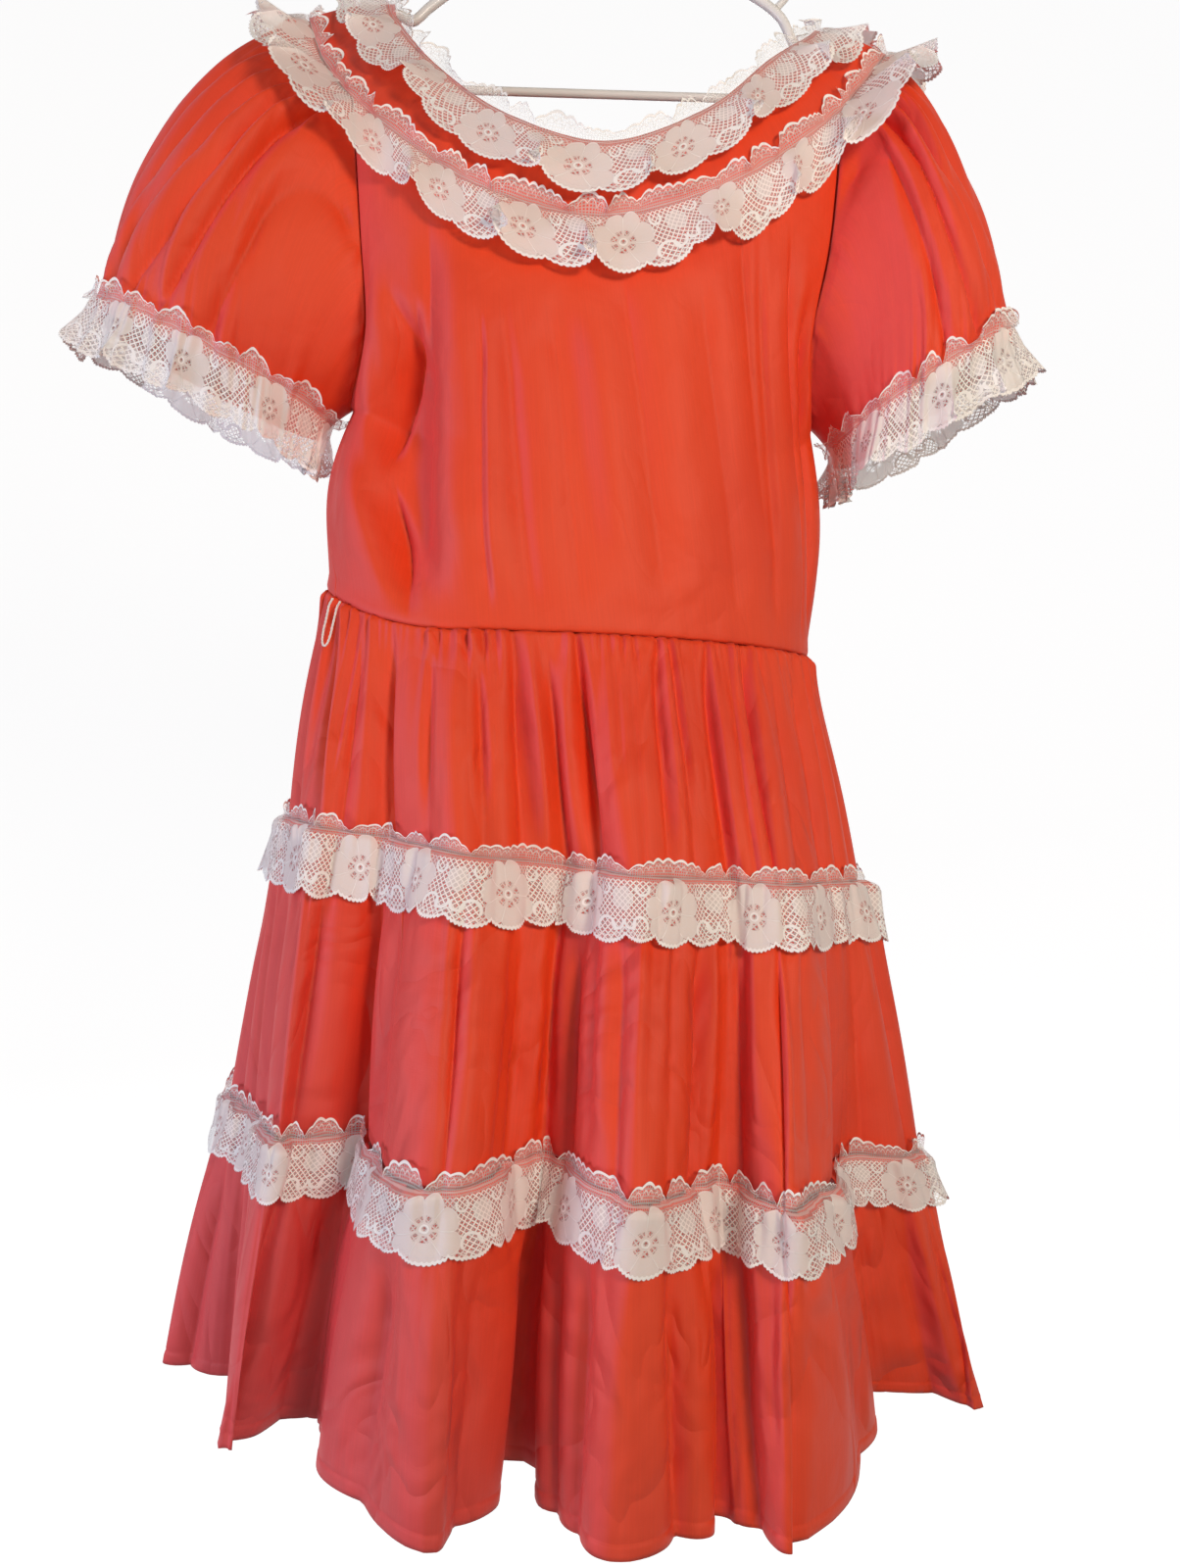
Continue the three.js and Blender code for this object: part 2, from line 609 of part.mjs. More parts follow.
for (const [half, panel] of Object.entries(PANELS)) {
  const places = Array.from({ length: panel.columns + 1 }, (_, i) => i / panel.columns);
  const points = bodiceRows.map((v) => places.map((u) => bodicePoint(half, u, v)));
  const normals = bodiceRows.map((v) => places.map((u) => bodiceNormal(half, u, v)));
  const edges = { pullTop: 1.2, pullBottom: 1.6, pullSides: 1 };
  addMesh(`bodice_${half}`, wallGeometry(points, normals, CLOTH_WALL, edges), clothMaterial);
}

// Sleeves. Columns run over the cap first, then round the armhole under the arm.

function capEdge(side, column) {
  const first = side === "right" ? -(180 - ARMHOLE_ANGLE) : ARMHOLE_ANGLE;
  if (column <= CAP_COLUMNS) {
    const angle = first + CAP_STEP * column;
    return { edge: yokeSeam(angle), normal: yokeSeamNormal(angle) };
  }
  const t = (column - CAP_COLUMNS) / (SLEEVE_COLUMNS - CAP_COLUMNS);
  const along = side === "right" ? t : 1 - t;
  return { edge: armholePoint(side, along), normal: armholeNormal(side, along) };
}

// The pull at a turn round the sleeve: 0 degrees is the top, 90 the front, 180 the underarm.
function pullAt(pulls, turn) {
  const upDown = Math.cos(turn);
  const frontBack = Math.sin(turn);
  const vertical = point(upDown > 0 ? pulls.top : pulls.under).multiplyScalar(upDown ** 2);
  const level = point(frontBack > 0 ? pulls.front : pulls.back).multiplyScalar(frontBack ** 2);
  return vertical.add(level);
}

function sleeveTurn(side, column) {
  const turn = ((column - CAP_COLUMNS / 2) / SLEEVE_COLUMNS) * 2 * Math.PI;
  return side === "right" ? turn : -turn;
}

function cuffPoint(side, column) {
  const sleeve = SLEEVES[side];
  const turn = sleeveTurn(side, column);
  const centre = mix(point(sleeve.cuffOuter), point(sleeve.cuffInner), 0.5);
  const outward = point(sleeve.cuffOuter).sub(centre);
  return centre
    .addScaledVector(outward, Math.cos(turn))
    .add(new THREE.Vector3(0, -sleeve.cuffDepth * Math.sin(turn), 0));
}

function sleevePlain(side, column, v) {
  const wrapped = ((column % SLEEVE_COLUMNS) + SLEEVE_COLUMNS) % SLEEVE_COLUMNS;
  const turn = sleeveTurn(side, wrapped);
  const start = capEdge(side, wrapped).edge;
  const end = cuffPoint(side, wrapped);
  const afterStart = start.clone().add(pullAt(SLEEVES[side].capPull, turn));
  const beforeEnd = end.clone().add(pullAt(SLEEVES[side].cuffPull, turn));
  return new THREE.CubicBezierCurve3(start, afterStart, beforeEnd, end).getPoint(v);
}

function sleeveGather(side, column, v) {
  const wave = 0.5 - 0.5 * Math.cos((2 * Math.PI * SLEEVE_GATHERS * column) / SLEEVE_COLUMNS);
  const { lerp, smoothstep } = THREE.MathUtils;
  const onTop = lerp(CAP_GATHER_UNDER, 1, Math.cos(sleeveTurn(side, column) / 2) ** 2);
  const fromCap = smoothstep(v, 0, 0.12) * (1 - smoothstep(v, 0.2, 0.6));
  const fromCuff = smoothstep(v, 0.6, 1);
  return wave * (CAP_GATHER * onTop * fromCap + CUFF_GATHER * fromCuff);
}

function sleeveNormal(side, column, v) {
  if (v === 0) return capEdge(side, column % SLEEVE_COLUMNS).normal;
  return surfaceNormal((c, row) => sleevePlain(side, c, row), column, v, 0.5, 0.03);
}

function sleevePoint(side, column, v) {
  const base = sleevePlain(side, column, v);
  return base.addScaledVector(sleeveNormal(side, column, v), sleeveGather(side, column, v));
}

const sleeveColumns = Array.from({ length: SLEEVE_COLUMNS }, (_, i) => i);

for (const side of ["right", "left"]) {
  const points = SLEEVE_ROWS.map((v) => sleeveColumns.map((column) => sleevePoint(side, column, v)));
  const normals = SLEEVE_ROWS.map((v) => sleeveColumns.map((column) => sleeveNormal(side, column, v)));
  const wall = wallGeometry(points, normals, CLOTH_WALL, { closed: true, pullTop: 1.5 });
  addMesh(`sleeve_${side}`, wall, clothMaterial);
}

// Lace

// A closed lace strip from rows of cloth points and normals, each moved out by the row's own distance.
function addLace(name, rows) {
  const moved = ({ at, normal, out }) => at.clone().addScaledVector(normal, LACE_CLEAR + LACE_WALL + out);
  const points = rows.map((row) => row.map(moved));
  const normals = rows.map((row) => row.map(({ normal }) => normal.clone()));
  addMesh(name, wallGeometry(points, normals, LACE_WALL, { closed: true }), laceMaterial);
}

// How far the lace's waves stand out at a place counted in waves.
const ruffle = (at) => 0.5 - 0.5 * Math.cos(2 * Math.PI * at);

// Lace moves out along the line midway between the squares of the cloth on either side of it, so that in a
// trough it comes toward the opening. The direction is made longer where it slants, so that a step along it
// still clears the cloth by the full distance.
function laceDirection(k, at) {
  const step = 1 / COLUMNS_PER_FOLD;
  const before = skirtRing(k, at).sub(skirtRing(k, at - step)).setZ(0).normalize();
  const after = skirtRing(k, at + step).sub(skirtRing(k, at)).setZ(0).normalize();
  const along = before.clone().add(after);
  const direction = new THREE.Vector3(along.y, -along.x, 0).normalize();
  const square = new THREE.Vector3(before.y, -before.x, 0);
  return direction.divideScalar(Math.max(SLANT_LIMIT, direction.dot(square)));
}

// The two strips on the skirt. The stitches lie on the seam, and the band hangs over the tier below.
function tierLaceRows(k) {
  const rows = [[], [], []];
  for (let i = 0; i < skirtColumns; i++) {
    const at = i / COLUMNS_PER_FOLD;
    const above = tierPoint(k, at, TIER_ROWS[2]);
    const seamAbove = tierPoint(k, at, 1);
    const seamBelow = tierPoint(k + 1, at, 0);
    const normal = laceDirection(k + 1, at);
    const headerShare = LACE_HEADER / above.distanceTo(seamAbove);
    const proud = Math.max(0, seamBelow.clone().sub(seamAbove).dot(normal));
    const wave = ruffle((at * TIER_LACE.waves) / foldCount + TIER_LACE.phase);
    const header = TIER_LACE.clear + TIER_LACE.header * (1 - wave);
    rows[0].push({ at: mix(seamAbove, above, headerShare), normal, out: header });
    rows[1].push({ at: seamAbove, normal, out: proud + TIER_LACE.stitch });
    const below = tierPoint(k + 1, at, TIER_ROWS[1]);
    const bandShare = LACE_BAND / seamBelow.distanceTo(below);
    const edge = mix(seamBelow, below, Math.min(1, bandShare));
    rows[2].push({ at: edge, normal, out: TIER_LACE.standOut + TIER_LACE.wave * wave });
  }
  return rows;
}

addLace("tier_lace_upper", tierLaceRows(0));
addLace("tier_lace_lower", tierLaceRows(1));

// Angles of a closed strip's columns, once round the neck.
function ringAngles(count) {
  return Array.from({ length: count }, (_, i) => -180 + (360 * i) / count);
}

// The neck lace stands over the neckline and falls over the yoke.
function neckLaceRows() {
  const rows = [[], [], []];
  for (const angle of ringAngles(NECK_LACE.columns)) {
    const edge = yokePoint(angle, 0);
    const down = yokePoint(angle, YOKE_ROWS[1]).sub(edge).normalize();
    const normal = yokeNormal(angle, 0);
    const wave = ruffle((angle / 360) * NECK_LACE.waves);
    const line = (drop) => edge.clone().addScaledVector(down, drop);
    rows[0].push({ at: line(-LACE_HEADER), normal, out: NECK_LACE.header * wave });
    rows[1].push({ at: line(NECK_DROP.stitch), normal, out: NECK_LACE.stitch });
    rows[2].push({ at: line(NECK_DROP.edge), normal, out: NECK_LACE.standOut + NECK_LACE.wave * wave });
  }
  return rows;
}

addLace("neck_lace", neckLaceRows());

// The cloth that the yoke lace's band lies on: the bodice under the yoke, and the sleeves at the sides.
function clothBelowYoke(angle, distance) {
  const fromFront = Math.abs(angle);
  const side = angle < 0 ? "right" : "left";
  const onBodice = () => {
    const half = fromFront < 90 ? "front" : "back";
    const { topAngles } = PANELS[half];
    const turned = half === "back" && angle < 0 ? angle + 360 : angle;
    const u = THREE.MathUtils.clamp((turned - topAngles[0]) / (topAngles[1] - topAngles[0]), 0, 1);
    const start = bodicePoint(half, u, 0);
    const next = bodicePoint(half, u, 0.15);
    return next.sub(start).setLength(distance);
  };
  const onSleeve = () => {
    const first = side === "right" ? -(180 - ARMHOLE_ANGLE) : ARMHOLE_ANGLE;
    const column = THREE.MathUtils.clamp((angle - first) / CAP_STEP, 0, CAP_COLUMNS);
    const start = sleevePlain(side, column, 0);
    const next = sleevePlain(side, column, distance > 30 ? 0.2 : 0.1);
    return next.sub(start).setLength(distance);
  };
  const past = (join) => THREE.MathUtils.smoothstep(fromFront, join - SLEEVE_SPREAD, join + SLEEVE_SPREAD);
  const sleeveShare = past(ARMHOLE_ANGLE) * (1 - past(180 - ARMHOLE_ANGLE));
  const step = new THREE.Vector3();
  if (sleeveShare < 1) step.addScaledVector(onBodice(), 1 - sleeveShare);
  if (sleeveShare > 0) step.addScaledVector(onSleeve(), sleeveShare);
  return { step: step.setLength(distance), corner: 4 * sleeveShare * (1 - sleeveShare), sleeveShare };
}

function yokeLaceRows() {
  const rows = [[], [], [], []];
  for (const angle of ringAngles(YOKE_LACE.columns)) {
    const seam = yokeSeam(angle);
    const above = yokePoint(angle, YOKE_ROWS[1]).sub(seam).normalize();
    const normal = yokeSeamNormal(angle);
    const wave = ruffle((angle / 360) * YOKE_LACE.waves + YOKE_LACE.phase);
    const header = seam.clone().addScaledVector(above, LACE_HEADER);
    rows[0].push({ at: header, normal, out: YOKE_LACE.clear + YOKE_LACE.header * wave });
    rows[1].push({ at: seam, normal, out: YOKE_LACE.stitch });
    for (const [line, distance] of [
      [rows[2], LACE_BAND / 2],
      [rows[3], LACE_BAND],
    ]) {
      const { step, corner, sleeveShare } = clothBelowYoke(angle, distance);
      const share = distance / LACE_BAND;
      const lift = YOKE_LACE_LIFT.sleeve * sleeveShare + YOKE_LACE_LIFT.corner * corner;
      const out = (YOKE_LACE.standOut + lift + YOKE_LACE.wave * wave) * share;
      line.push({ at: seam.clone().add(step), normal, out });
    }
  }
  return rows;
}

addLace("yoke_lace", yokeLaceRows());

// Cuff lace: the stitches lie above the sleeve's edge, and the band runs on past it.
function sleeveLaceRows(side) {
  const rows = [[], [], []];
  for (const column of sleeveColumns) {
    const edge = sleevePoint(side, column, 1);
    const before = sleevePoint(side, column, SLEEVE_ROWS[SLEEVE_ROWS.length - 2]);
    const upward = before.clone().sub(edge);
    const length = upward.length();
    const normal = sleeveNormal(side, column, 1);
    const wave = ruffle((column * SLEEVE_LACE.waves) / SLEEVE_COLUMNS);
    const line = (rise) => edge.clone().addScaledVector(upward, rise / length);
    const stitch = LACE_BAND - SLEEVE_LACE.beyond;
    const header = Math.min(length, stitch + LACE_HEADER);
    const edgeOut = SLEEVE_LACE.standOut + SLEEVE_LACE.wave * wave;
    rows[0].push({ at: line(header), normal, out: SLEEVE_LACE.clear + SLEEVE_LACE.header * wave });
    rows[1].push({ at: line(Math.min(stitch, length * 0.6)), normal, out: SLEEVE_LACE.stitch });
    rows[2].push({ at: line(-SLEEVE_LACE.beyond), normal, out: edgeOut });
  }
  return rows;
}

for (const side of ["right", "left"]) {
  addLace(`sleeve_lace_${side}`, sleeveLaceRows(side));
}

// Hanger

// A round bar along a smooth curve through points.
function barAlong(points, radius, steps, sides) {
  const shape = new THREE.Shape();
  for (let k = 0; k < sides; k++) {
    const turn = (2 * Math.PI * k) / sides;
    const [x, y] = [radius * Math.cos(turn), radius * Math.sin(turn)];
    if (k === 0) shape.moveTo(x, y);
    else shape.lineTo(x, y);
  }
  shape.closePath();
  const extrudePath = new THREE.CatmullRomCurve3(points, false, "centripetal");
  return new THREE.ExtrudeGeometry(shape, { steps, extrudePath, bevelEnabled: false });
}

// A point of the arm's middle line under the shoulder ridge, at a place between two rows of the yoke wall.
function underRidge(angle, v) {
  const drop = CLOTH_WALL + RIDGE_CLEAR + ARM_RADIUS;
  const lower = v < YOKE_ROWS[1] ? 0 : 1;
  const share = (v - YOKE_ROWS[lower]) / (YOKE_ROWS[lower + 1] - YOKE_ROWS[lower]);
  const ridge = mix(yokePoint(angle, YOKE_ROWS[lower]), yokePoint(angle, YOKE_ROWS[lower + 1]), share);
  return ridge.addScaledVector(yokeNormal(angle, v), -drop).setY(0);
}

// The arm on one side, from its hub to the end that meets the bar.
function armPoints(sign) {
  const angle = 90 * sign;
  const [neckX, seamX] = [Math.abs(neckline(angle).x), Math.abs(yokeSeam(angle).x)];
  const tip = underRidge(angle, (HANGER_HALF_SPAN - neckX) / (seamX - neckX));
  const below = (x, z) => new THREE.Vector3(x * sign, 0, z);
  const entry = underRidge(angle, 0);
  return [
    ...ARM_FROM_HUB.map(({ x, drop }) => below(x, HANGER_TOP - drop)),
    below(neckX - 12, entry.z - 4),
    entry,
    mix(entry, tip, 0.6),
    tip,
    below(ARM_TO_BAR[0].x, tip.z - 12),
    ...ARM_TO_BAR.map(({ x, rise }) => below(x, BAR_LEVEL + rise)),
    below(BAR_HALF_LENGTH + PART_GAP, BAR_LEVEL),
  ];
}

// A point of the belt loop's middle line, clear of the gathers of the first tier, at a drop below the waist seam.
function loopPoint(at, drop) {
  const v = drop / skirtRing(0, at).distanceTo(skirtRing(1, at));
  const clear = THREE.MathUtils.lerp(LOOP.seamClear, LOOP.clear, Math.min(1, drop / LOOP.seamDrop));
  return tierPoint(0, at, v).addScaledVector(tierNormal(0, at, v), clear);
}

// The loop runs out of the waist seam, down over the gathers, round and up to the seam again.
function loopRoute() {
  const down = Array.from({ length: LOOP_LEG_ROWS + 1 }, (_, k) => (LOOP.leg * k) / LOOP_LEG_ROWS);
  const middle = (LOOP.from + LOOP.to) / 2;
  const route = down.map((drop) => loopPoint(LOOP.from, drop));
  for (let k = 1; k < LOOP_ROUND_ROWS; k++) {
    const turn = (Math.PI * k) / LOOP_ROUND_ROWS;
    route.push(loopPoint(middle - (LOOP.to - middle) * Math.cos(turn), LOOP.leg + LOOP.round * Math.sin(turn)));
  }
  return [...route, ...down.reverse().map((drop) => loopPoint(LOOP.to, drop))];
}

// Belt loop of chained thread at the wearer's right side seam
addMesh("belt_loop", barAlong(loopRoute(), LOOP_RADIUS, LOOP_STEPS, LOOP_SIDES), threadMaterial);

const hub = new THREE.Vector3(0, 0, HANGER_TOP);
const armLine = [...armPoints(-1).reverse(), hub, ...armPoints(1)];
addMesh("hanger_arms", barAlong(armLine, ARM_RADIUS, ARM_STEPS, 6), plasticMaterial);

const barEnds = [-BAR_HALF_LENGTH, BAR_HALF_LENGTH].map((x) => new THREE.Vector3(x, 0, BAR_LEVEL));
addMesh("hanger_bar", barAlong(barEnds, BAR_RADIUS, 6, 8), plasticMaterial);

// The hook rises from the hub and turns over in a round bend that is open toward the wearer's right.
function hookPoints() {
  const bend = HOOK_INSIDE + HOOK_RADIUS;
  const stem = [HANGER_TOP + ARM_RADIUS + PART_GAP, HANGER_TOP + 22].map((z) => new THREE.Vector3(0, 0, z));
  const arc = [];
  for (let turn = HOOK_ARC.from; turn <= HOOK_ARC.to; turn += HOOK_ARC.step) {
    const a = turn * degree;
    arc.push(new THREE.Vector3(bend * Math.cos(a), 0, bend * Math.sin(a) - HOOK_INSIDE));
  }
  return [...stem, ...arc];
}

addMesh("hanger_hook", barAlong(hookPoints(), HOOK_RADIUS, 24, 8), plasticMaterial);

// Strap pegs stand square on the arms just inside the neckline.
const armStations = new THREE.CatmullRomCurve3(armLine, false, "centripetal").getSpacedPoints(ARM_STEPS);
for (const sign of [-1, 1]) {
  const name = sign < 0 ? "right" : "left";
  const beyond = armStations.findIndex((station) => station.x > PEG.x * sign);
  const [low, high] = [armStations[beyond - 1], armStations[beyond]];
  const along = high.clone().sub(low).normalize();
  const square = new THREE.Vector3(-along.z, 0, along.x);
  const seat = mix(low, high, 0.5).addScaledVector(square, ARM_RADIUS + PART_GAP + PEG.height / 2);
  const peg = new THREE.CylinderGeometry(PEG.radius, PEG.radius, PEG.height, 8);
  peg.rotateX(Math.PI / 2).rotateY(Math.atan2(square.x, square.z));
  peg.translate(seat.x, 0, seat.z);
  addMesh(`hanger_peg_${name}`, peg, plasticMaterial);
}

export default dress;
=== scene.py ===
import math

import bpy
import numpy as np
from mathutils import Matrix, Vector


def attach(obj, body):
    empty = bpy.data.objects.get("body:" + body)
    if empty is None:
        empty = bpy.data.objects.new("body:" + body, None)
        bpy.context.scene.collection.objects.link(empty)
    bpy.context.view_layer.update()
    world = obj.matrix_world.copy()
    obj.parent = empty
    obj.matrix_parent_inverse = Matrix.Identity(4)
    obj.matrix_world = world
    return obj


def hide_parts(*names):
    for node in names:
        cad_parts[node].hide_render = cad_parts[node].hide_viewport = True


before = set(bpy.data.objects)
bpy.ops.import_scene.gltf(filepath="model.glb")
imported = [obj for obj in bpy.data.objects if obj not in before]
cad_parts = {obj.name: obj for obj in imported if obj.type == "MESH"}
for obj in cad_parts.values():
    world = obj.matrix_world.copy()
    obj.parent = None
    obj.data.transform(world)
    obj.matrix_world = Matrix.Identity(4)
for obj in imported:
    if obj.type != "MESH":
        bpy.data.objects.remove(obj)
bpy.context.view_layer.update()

print("frame loaded")


# Camera: the photograph's place and angle

photoCamera = {"place": (0.006, -0.820, -0.665), "roll": 1.8, "lens": 27.045, "sensor": 36.0}


def makeCamera():
    data = bpy.data.cameras.new("photoCamera")
    data.lens = photoCamera["lens"]
    data.sensor_width = photoCamera["sensor"]
    data.clip_start, data.clip_end = 0.02, 40
    camera = bpy.data.objects.new("photoCamera", data)
    bpy.context.scene.collection.objects.link(camera)
    turn = math.radians(photoCamera["roll"])
    right = Vector((math.cos(turn), 0, math.sin(turn)))
    top = Vector((-math.sin(turn), 0, math.cos(turn)))
    axes = Matrix((right, top, right.cross(top))).transposed().to_4x4()
    camera.matrix_world = Matrix.Translation(photoCamera["place"]) @ axes
    bpy.context.scene.camera = camera


makeCamera()


# Helpers for forms. The tables are in millimetres, as on a pattern; the meshes are made in metres.

def smoothstep(x, low, high):
    t = np.clip((np.asarray(x, float) - low) / (high - low), 0, 1)
    return t * t * (3 - 2 * t)


def mix(a, b, t):
    return a + (b - a) * np.asarray(t)[..., None]


def unit(v):
    return v / np.maximum(1e-9, np.linalg.norm(v, axis=-1, keepdims=True))


def between(x, low, high, soft):
    return smoothstep(x, low, low + soft) * (1 - smoothstep(x, high - soft, high))


def outwardOf(along):  # level outward direction of a line that runs anticlockwise from above
    return unit(np.stack([along[..., 1], -along[..., 0], 0 * along[..., 0]], -1))


def smoothRing(table, at):  # closed smooth curve through the rows of a table
    rows = np.array(table, float)
    base = np.floor(at).astype(int)
    t = (at - base)[..., None]
    p0, p1, p2, p3 = (rows[(base + k) % len(rows)] for k in (-1, 0, 1, 2))
    return 0.5 * (2 * p1 + (p2 - p0) * t + (2 * p0 - 5 * p1 + 4 * p2 - p3) * t**2
                  + (3 * p1 - p0 - 3 * p2 + p3) * t**3)


def openCurve(rows, at):  # smooth open curve through the rows, from 0 to 1
    rows = np.array(rows, float)
    count = len(rows)
    place = np.clip(at, 0, 1) * (count - 1)
    base = np.minimum(np.floor(place).astype(int), count - 2)
    t = (place - base)[..., None]
    ends = np.vstack([2 * rows[:1] - rows[1:2], rows, 2 * rows[-1:] - rows[-2:-1]])
    p0, p1, p2, p3 = (ends[base + k] for k in range(4))
    gaps = [np.linalg.norm(b - a, axis=-1, keepdims=True) ** 0.5 for a, b in ((p0, p1), (p1, p2), (p2, p3))]
    d0, d1, d2 = gaps
    m1 = ((p1 - p0) / d0 - (p2 - p0) / (d0 + d1) + (p2 - p1) / d1) * d1
    m2 = ((p2 - p1) / d1 - (p3 - p1) / (d1 + d2) + (p3 - p2) / d2) * d1
    return p1 + m1 * t + (3 * (p2 - p1) - 2 * m1 - m2) * t**2 + (2 * (p1 - p2) + m1 + m2) * t**3


def surfaceNormal(surface, column, row, columnStep, rowStep):
    top, bottom = np.maximum(0, row - rowStep), np.minimum(1, row + rowStep)
    across = surface(column + columnStep, row) - surface(column - columnStep, row)
    down = surface(column, bottom) - surface(column, top)
    return unit(np.cross(down, across))


def gatherHeight(place, drop, spec):  # many fine pleats; place is 0 to 1 once round, drop is from the seam
    dice = np.random.RandomState(spec["seed"])
    counts = range(spec["from"], spec["to"] + 1, spec["step"])
    total = 0 * (place + drop)
    for count in counts:
        phase, size, drift = dice.uniform(0, 2 * np.pi), dice.uniform(0.4, 1.0), dice.uniform(-1, 1)
        angle = 2 * np.pi * count * place + phase + drift * spec["wander"] * drop
        total = total + size * np.cos(angle) * np.exp(-drop * count / spec["reach"])
    total = total * math.sqrt(2 / len(counts))
    sharp = spec.get("sharp", 0)  # rounded pleats with tight valleys between them
    return spec["height"] * (total * (1 - sharp) + 1.5 * (np.abs(total) - 0.6) * sharp)


def creaseHeight(across, down, rows):  # creases placed one by one, along lines on a panel laid flat
    total = 0 * (across + down)
    for a0, d0, a1, d1, depth, width in rows:
        run = np.array([a1 - a0, d1 - d0], float)
        length = np.hypot(*run)
        along = ((across - a0) * run[0] + (down - d0) * run[1]) / length**2
        aside = ((across - a0) * run[1] - (down - d0) * run[0]) / length / width
        fade = smoothstep(along, -0.12, 0.25) * (1 - smoothstep(along, 0.7, 1.12))
        shape = np.exp(-(aside**2)) - 0.35 * np.exp(-((np.abs(aside) - 1.9) ** 2) / 0.8)
        total = total - depth * shape * fade
    return total


def pleatHeight(at, v, rows, turnsOver):  # valleys between flat pleats, each with its own reach to both sides
    total = 0 * (at + v)
    for place, shift, depth, before, after in rows:
        away = (at - place - shift * v + turnsOver / 2) % turnsOver - turnsOver / 2
        share = np.clip(1 - np.where(away < 0, -away / before, away / after), 0, 1)
        total = total - depth * share**2
    return total


def quadCorners(rows, columns, closed):  # of the mesh and of its map, which is cut open
    steps = columns if closed else columns - 1
    j, i = np.meshgrid(np.arange(rows - 1), np.arange(steps), indexing="ij")

    def corners(width, right):
        return np.stack([j * width + i, (j + 1) * width + i, (j + 1) * width + right, j * width + right], -1)

    return corners(columns, (i + 1) % columns).reshape(-1, 4), corners(steps + 1, i + 1).reshape(-1, 4)


def newObject(name, data):
    piece = bpy.data.objects.new(name, data)
    bpy.context.scene.collection.objects.link(piece)
    return piece


def shadeSmooth(mesh):
    mesh.polygons.foreach_set("use_smooth", [True] * len(mesh.polygons))


def clothObject(name, points, closed=False, maps=None, thickness=None):
    rows, columns = points.shape[:2]
    corners, mapCorners = quadCorners(rows, columns, closed)
    mesh = bpy.data.meshes.new(name)
    mesh.from_pydata((points.reshape(-1, 3) * 0.001).tolist(), [], corners.tolist())
    for mapName, places in (maps or {}).items():
        layer = mesh.uv_layers.new(name=mapName)
        layer.data.foreach_set("uv", places.reshape(-1, 2)[mapCorners.ravel()].ravel())
    shadeSmooth(mesh)
    mesh.update()
    piece = newObject(name, mesh)
    if thickness:
        wall = piece.modifiers.new("clothThickness", "SOLIDIFY")
        wall.thickness = thickness * 0.001
        wall.offset = -1
    return piece


def patternMap(points, closed):  # lengths along and down the cloth, in metres
    ring = np.concatenate([points, points[:, :1]], 1) if closed else points
    across = np.linalg.norm(np.diff(ring, axis=1), axis=-1).mean(0)
    down = np.linalg.norm(np.diff(points, axis=0), axis=-1).mean(1)
    u = np.concatenate([[0], np.cumsum(across)])
    v = np.concatenate([[0], np.cumsum(down)])
    grid = np.stack(np.meshgrid(u, -v), -1)
    return grid * 0.001


# Waist seam

waistSeam = {
    "centreX": -10,
    "halfWidth": 168,
    "frontDepth": 97,
    "backDepth": 70,
    "turn": 8,
    "z": -572,
    "hitch": 34,
    "hitchAngle": -98,
    "hitchSpread": 70,
}


def waistPoint(angle):
    s = waistSeam
    a, turn = np.radians(angle), math.radians(s["turn"])
    depth = np.where(np.cos(a) > 0, s["frontDepth"], s["backDepth"])
    near = np.minimum(1, np.abs((angle - s["hitchAngle"] + 180) % 360 - 180) / s["hitchSpread"])
    x, y = s["halfWidth"] * np.sin(a), -depth * np.cos(a)
    z = s["z"] + s["hitch"] * np.cos(near * np.pi / 2) ** 2
    return np.stack([x * math.cos(turn) - y * math.sin(turn) + s["centreX"],
                     x * math.sin(turn) + y * math.cos(turn), z], -1)
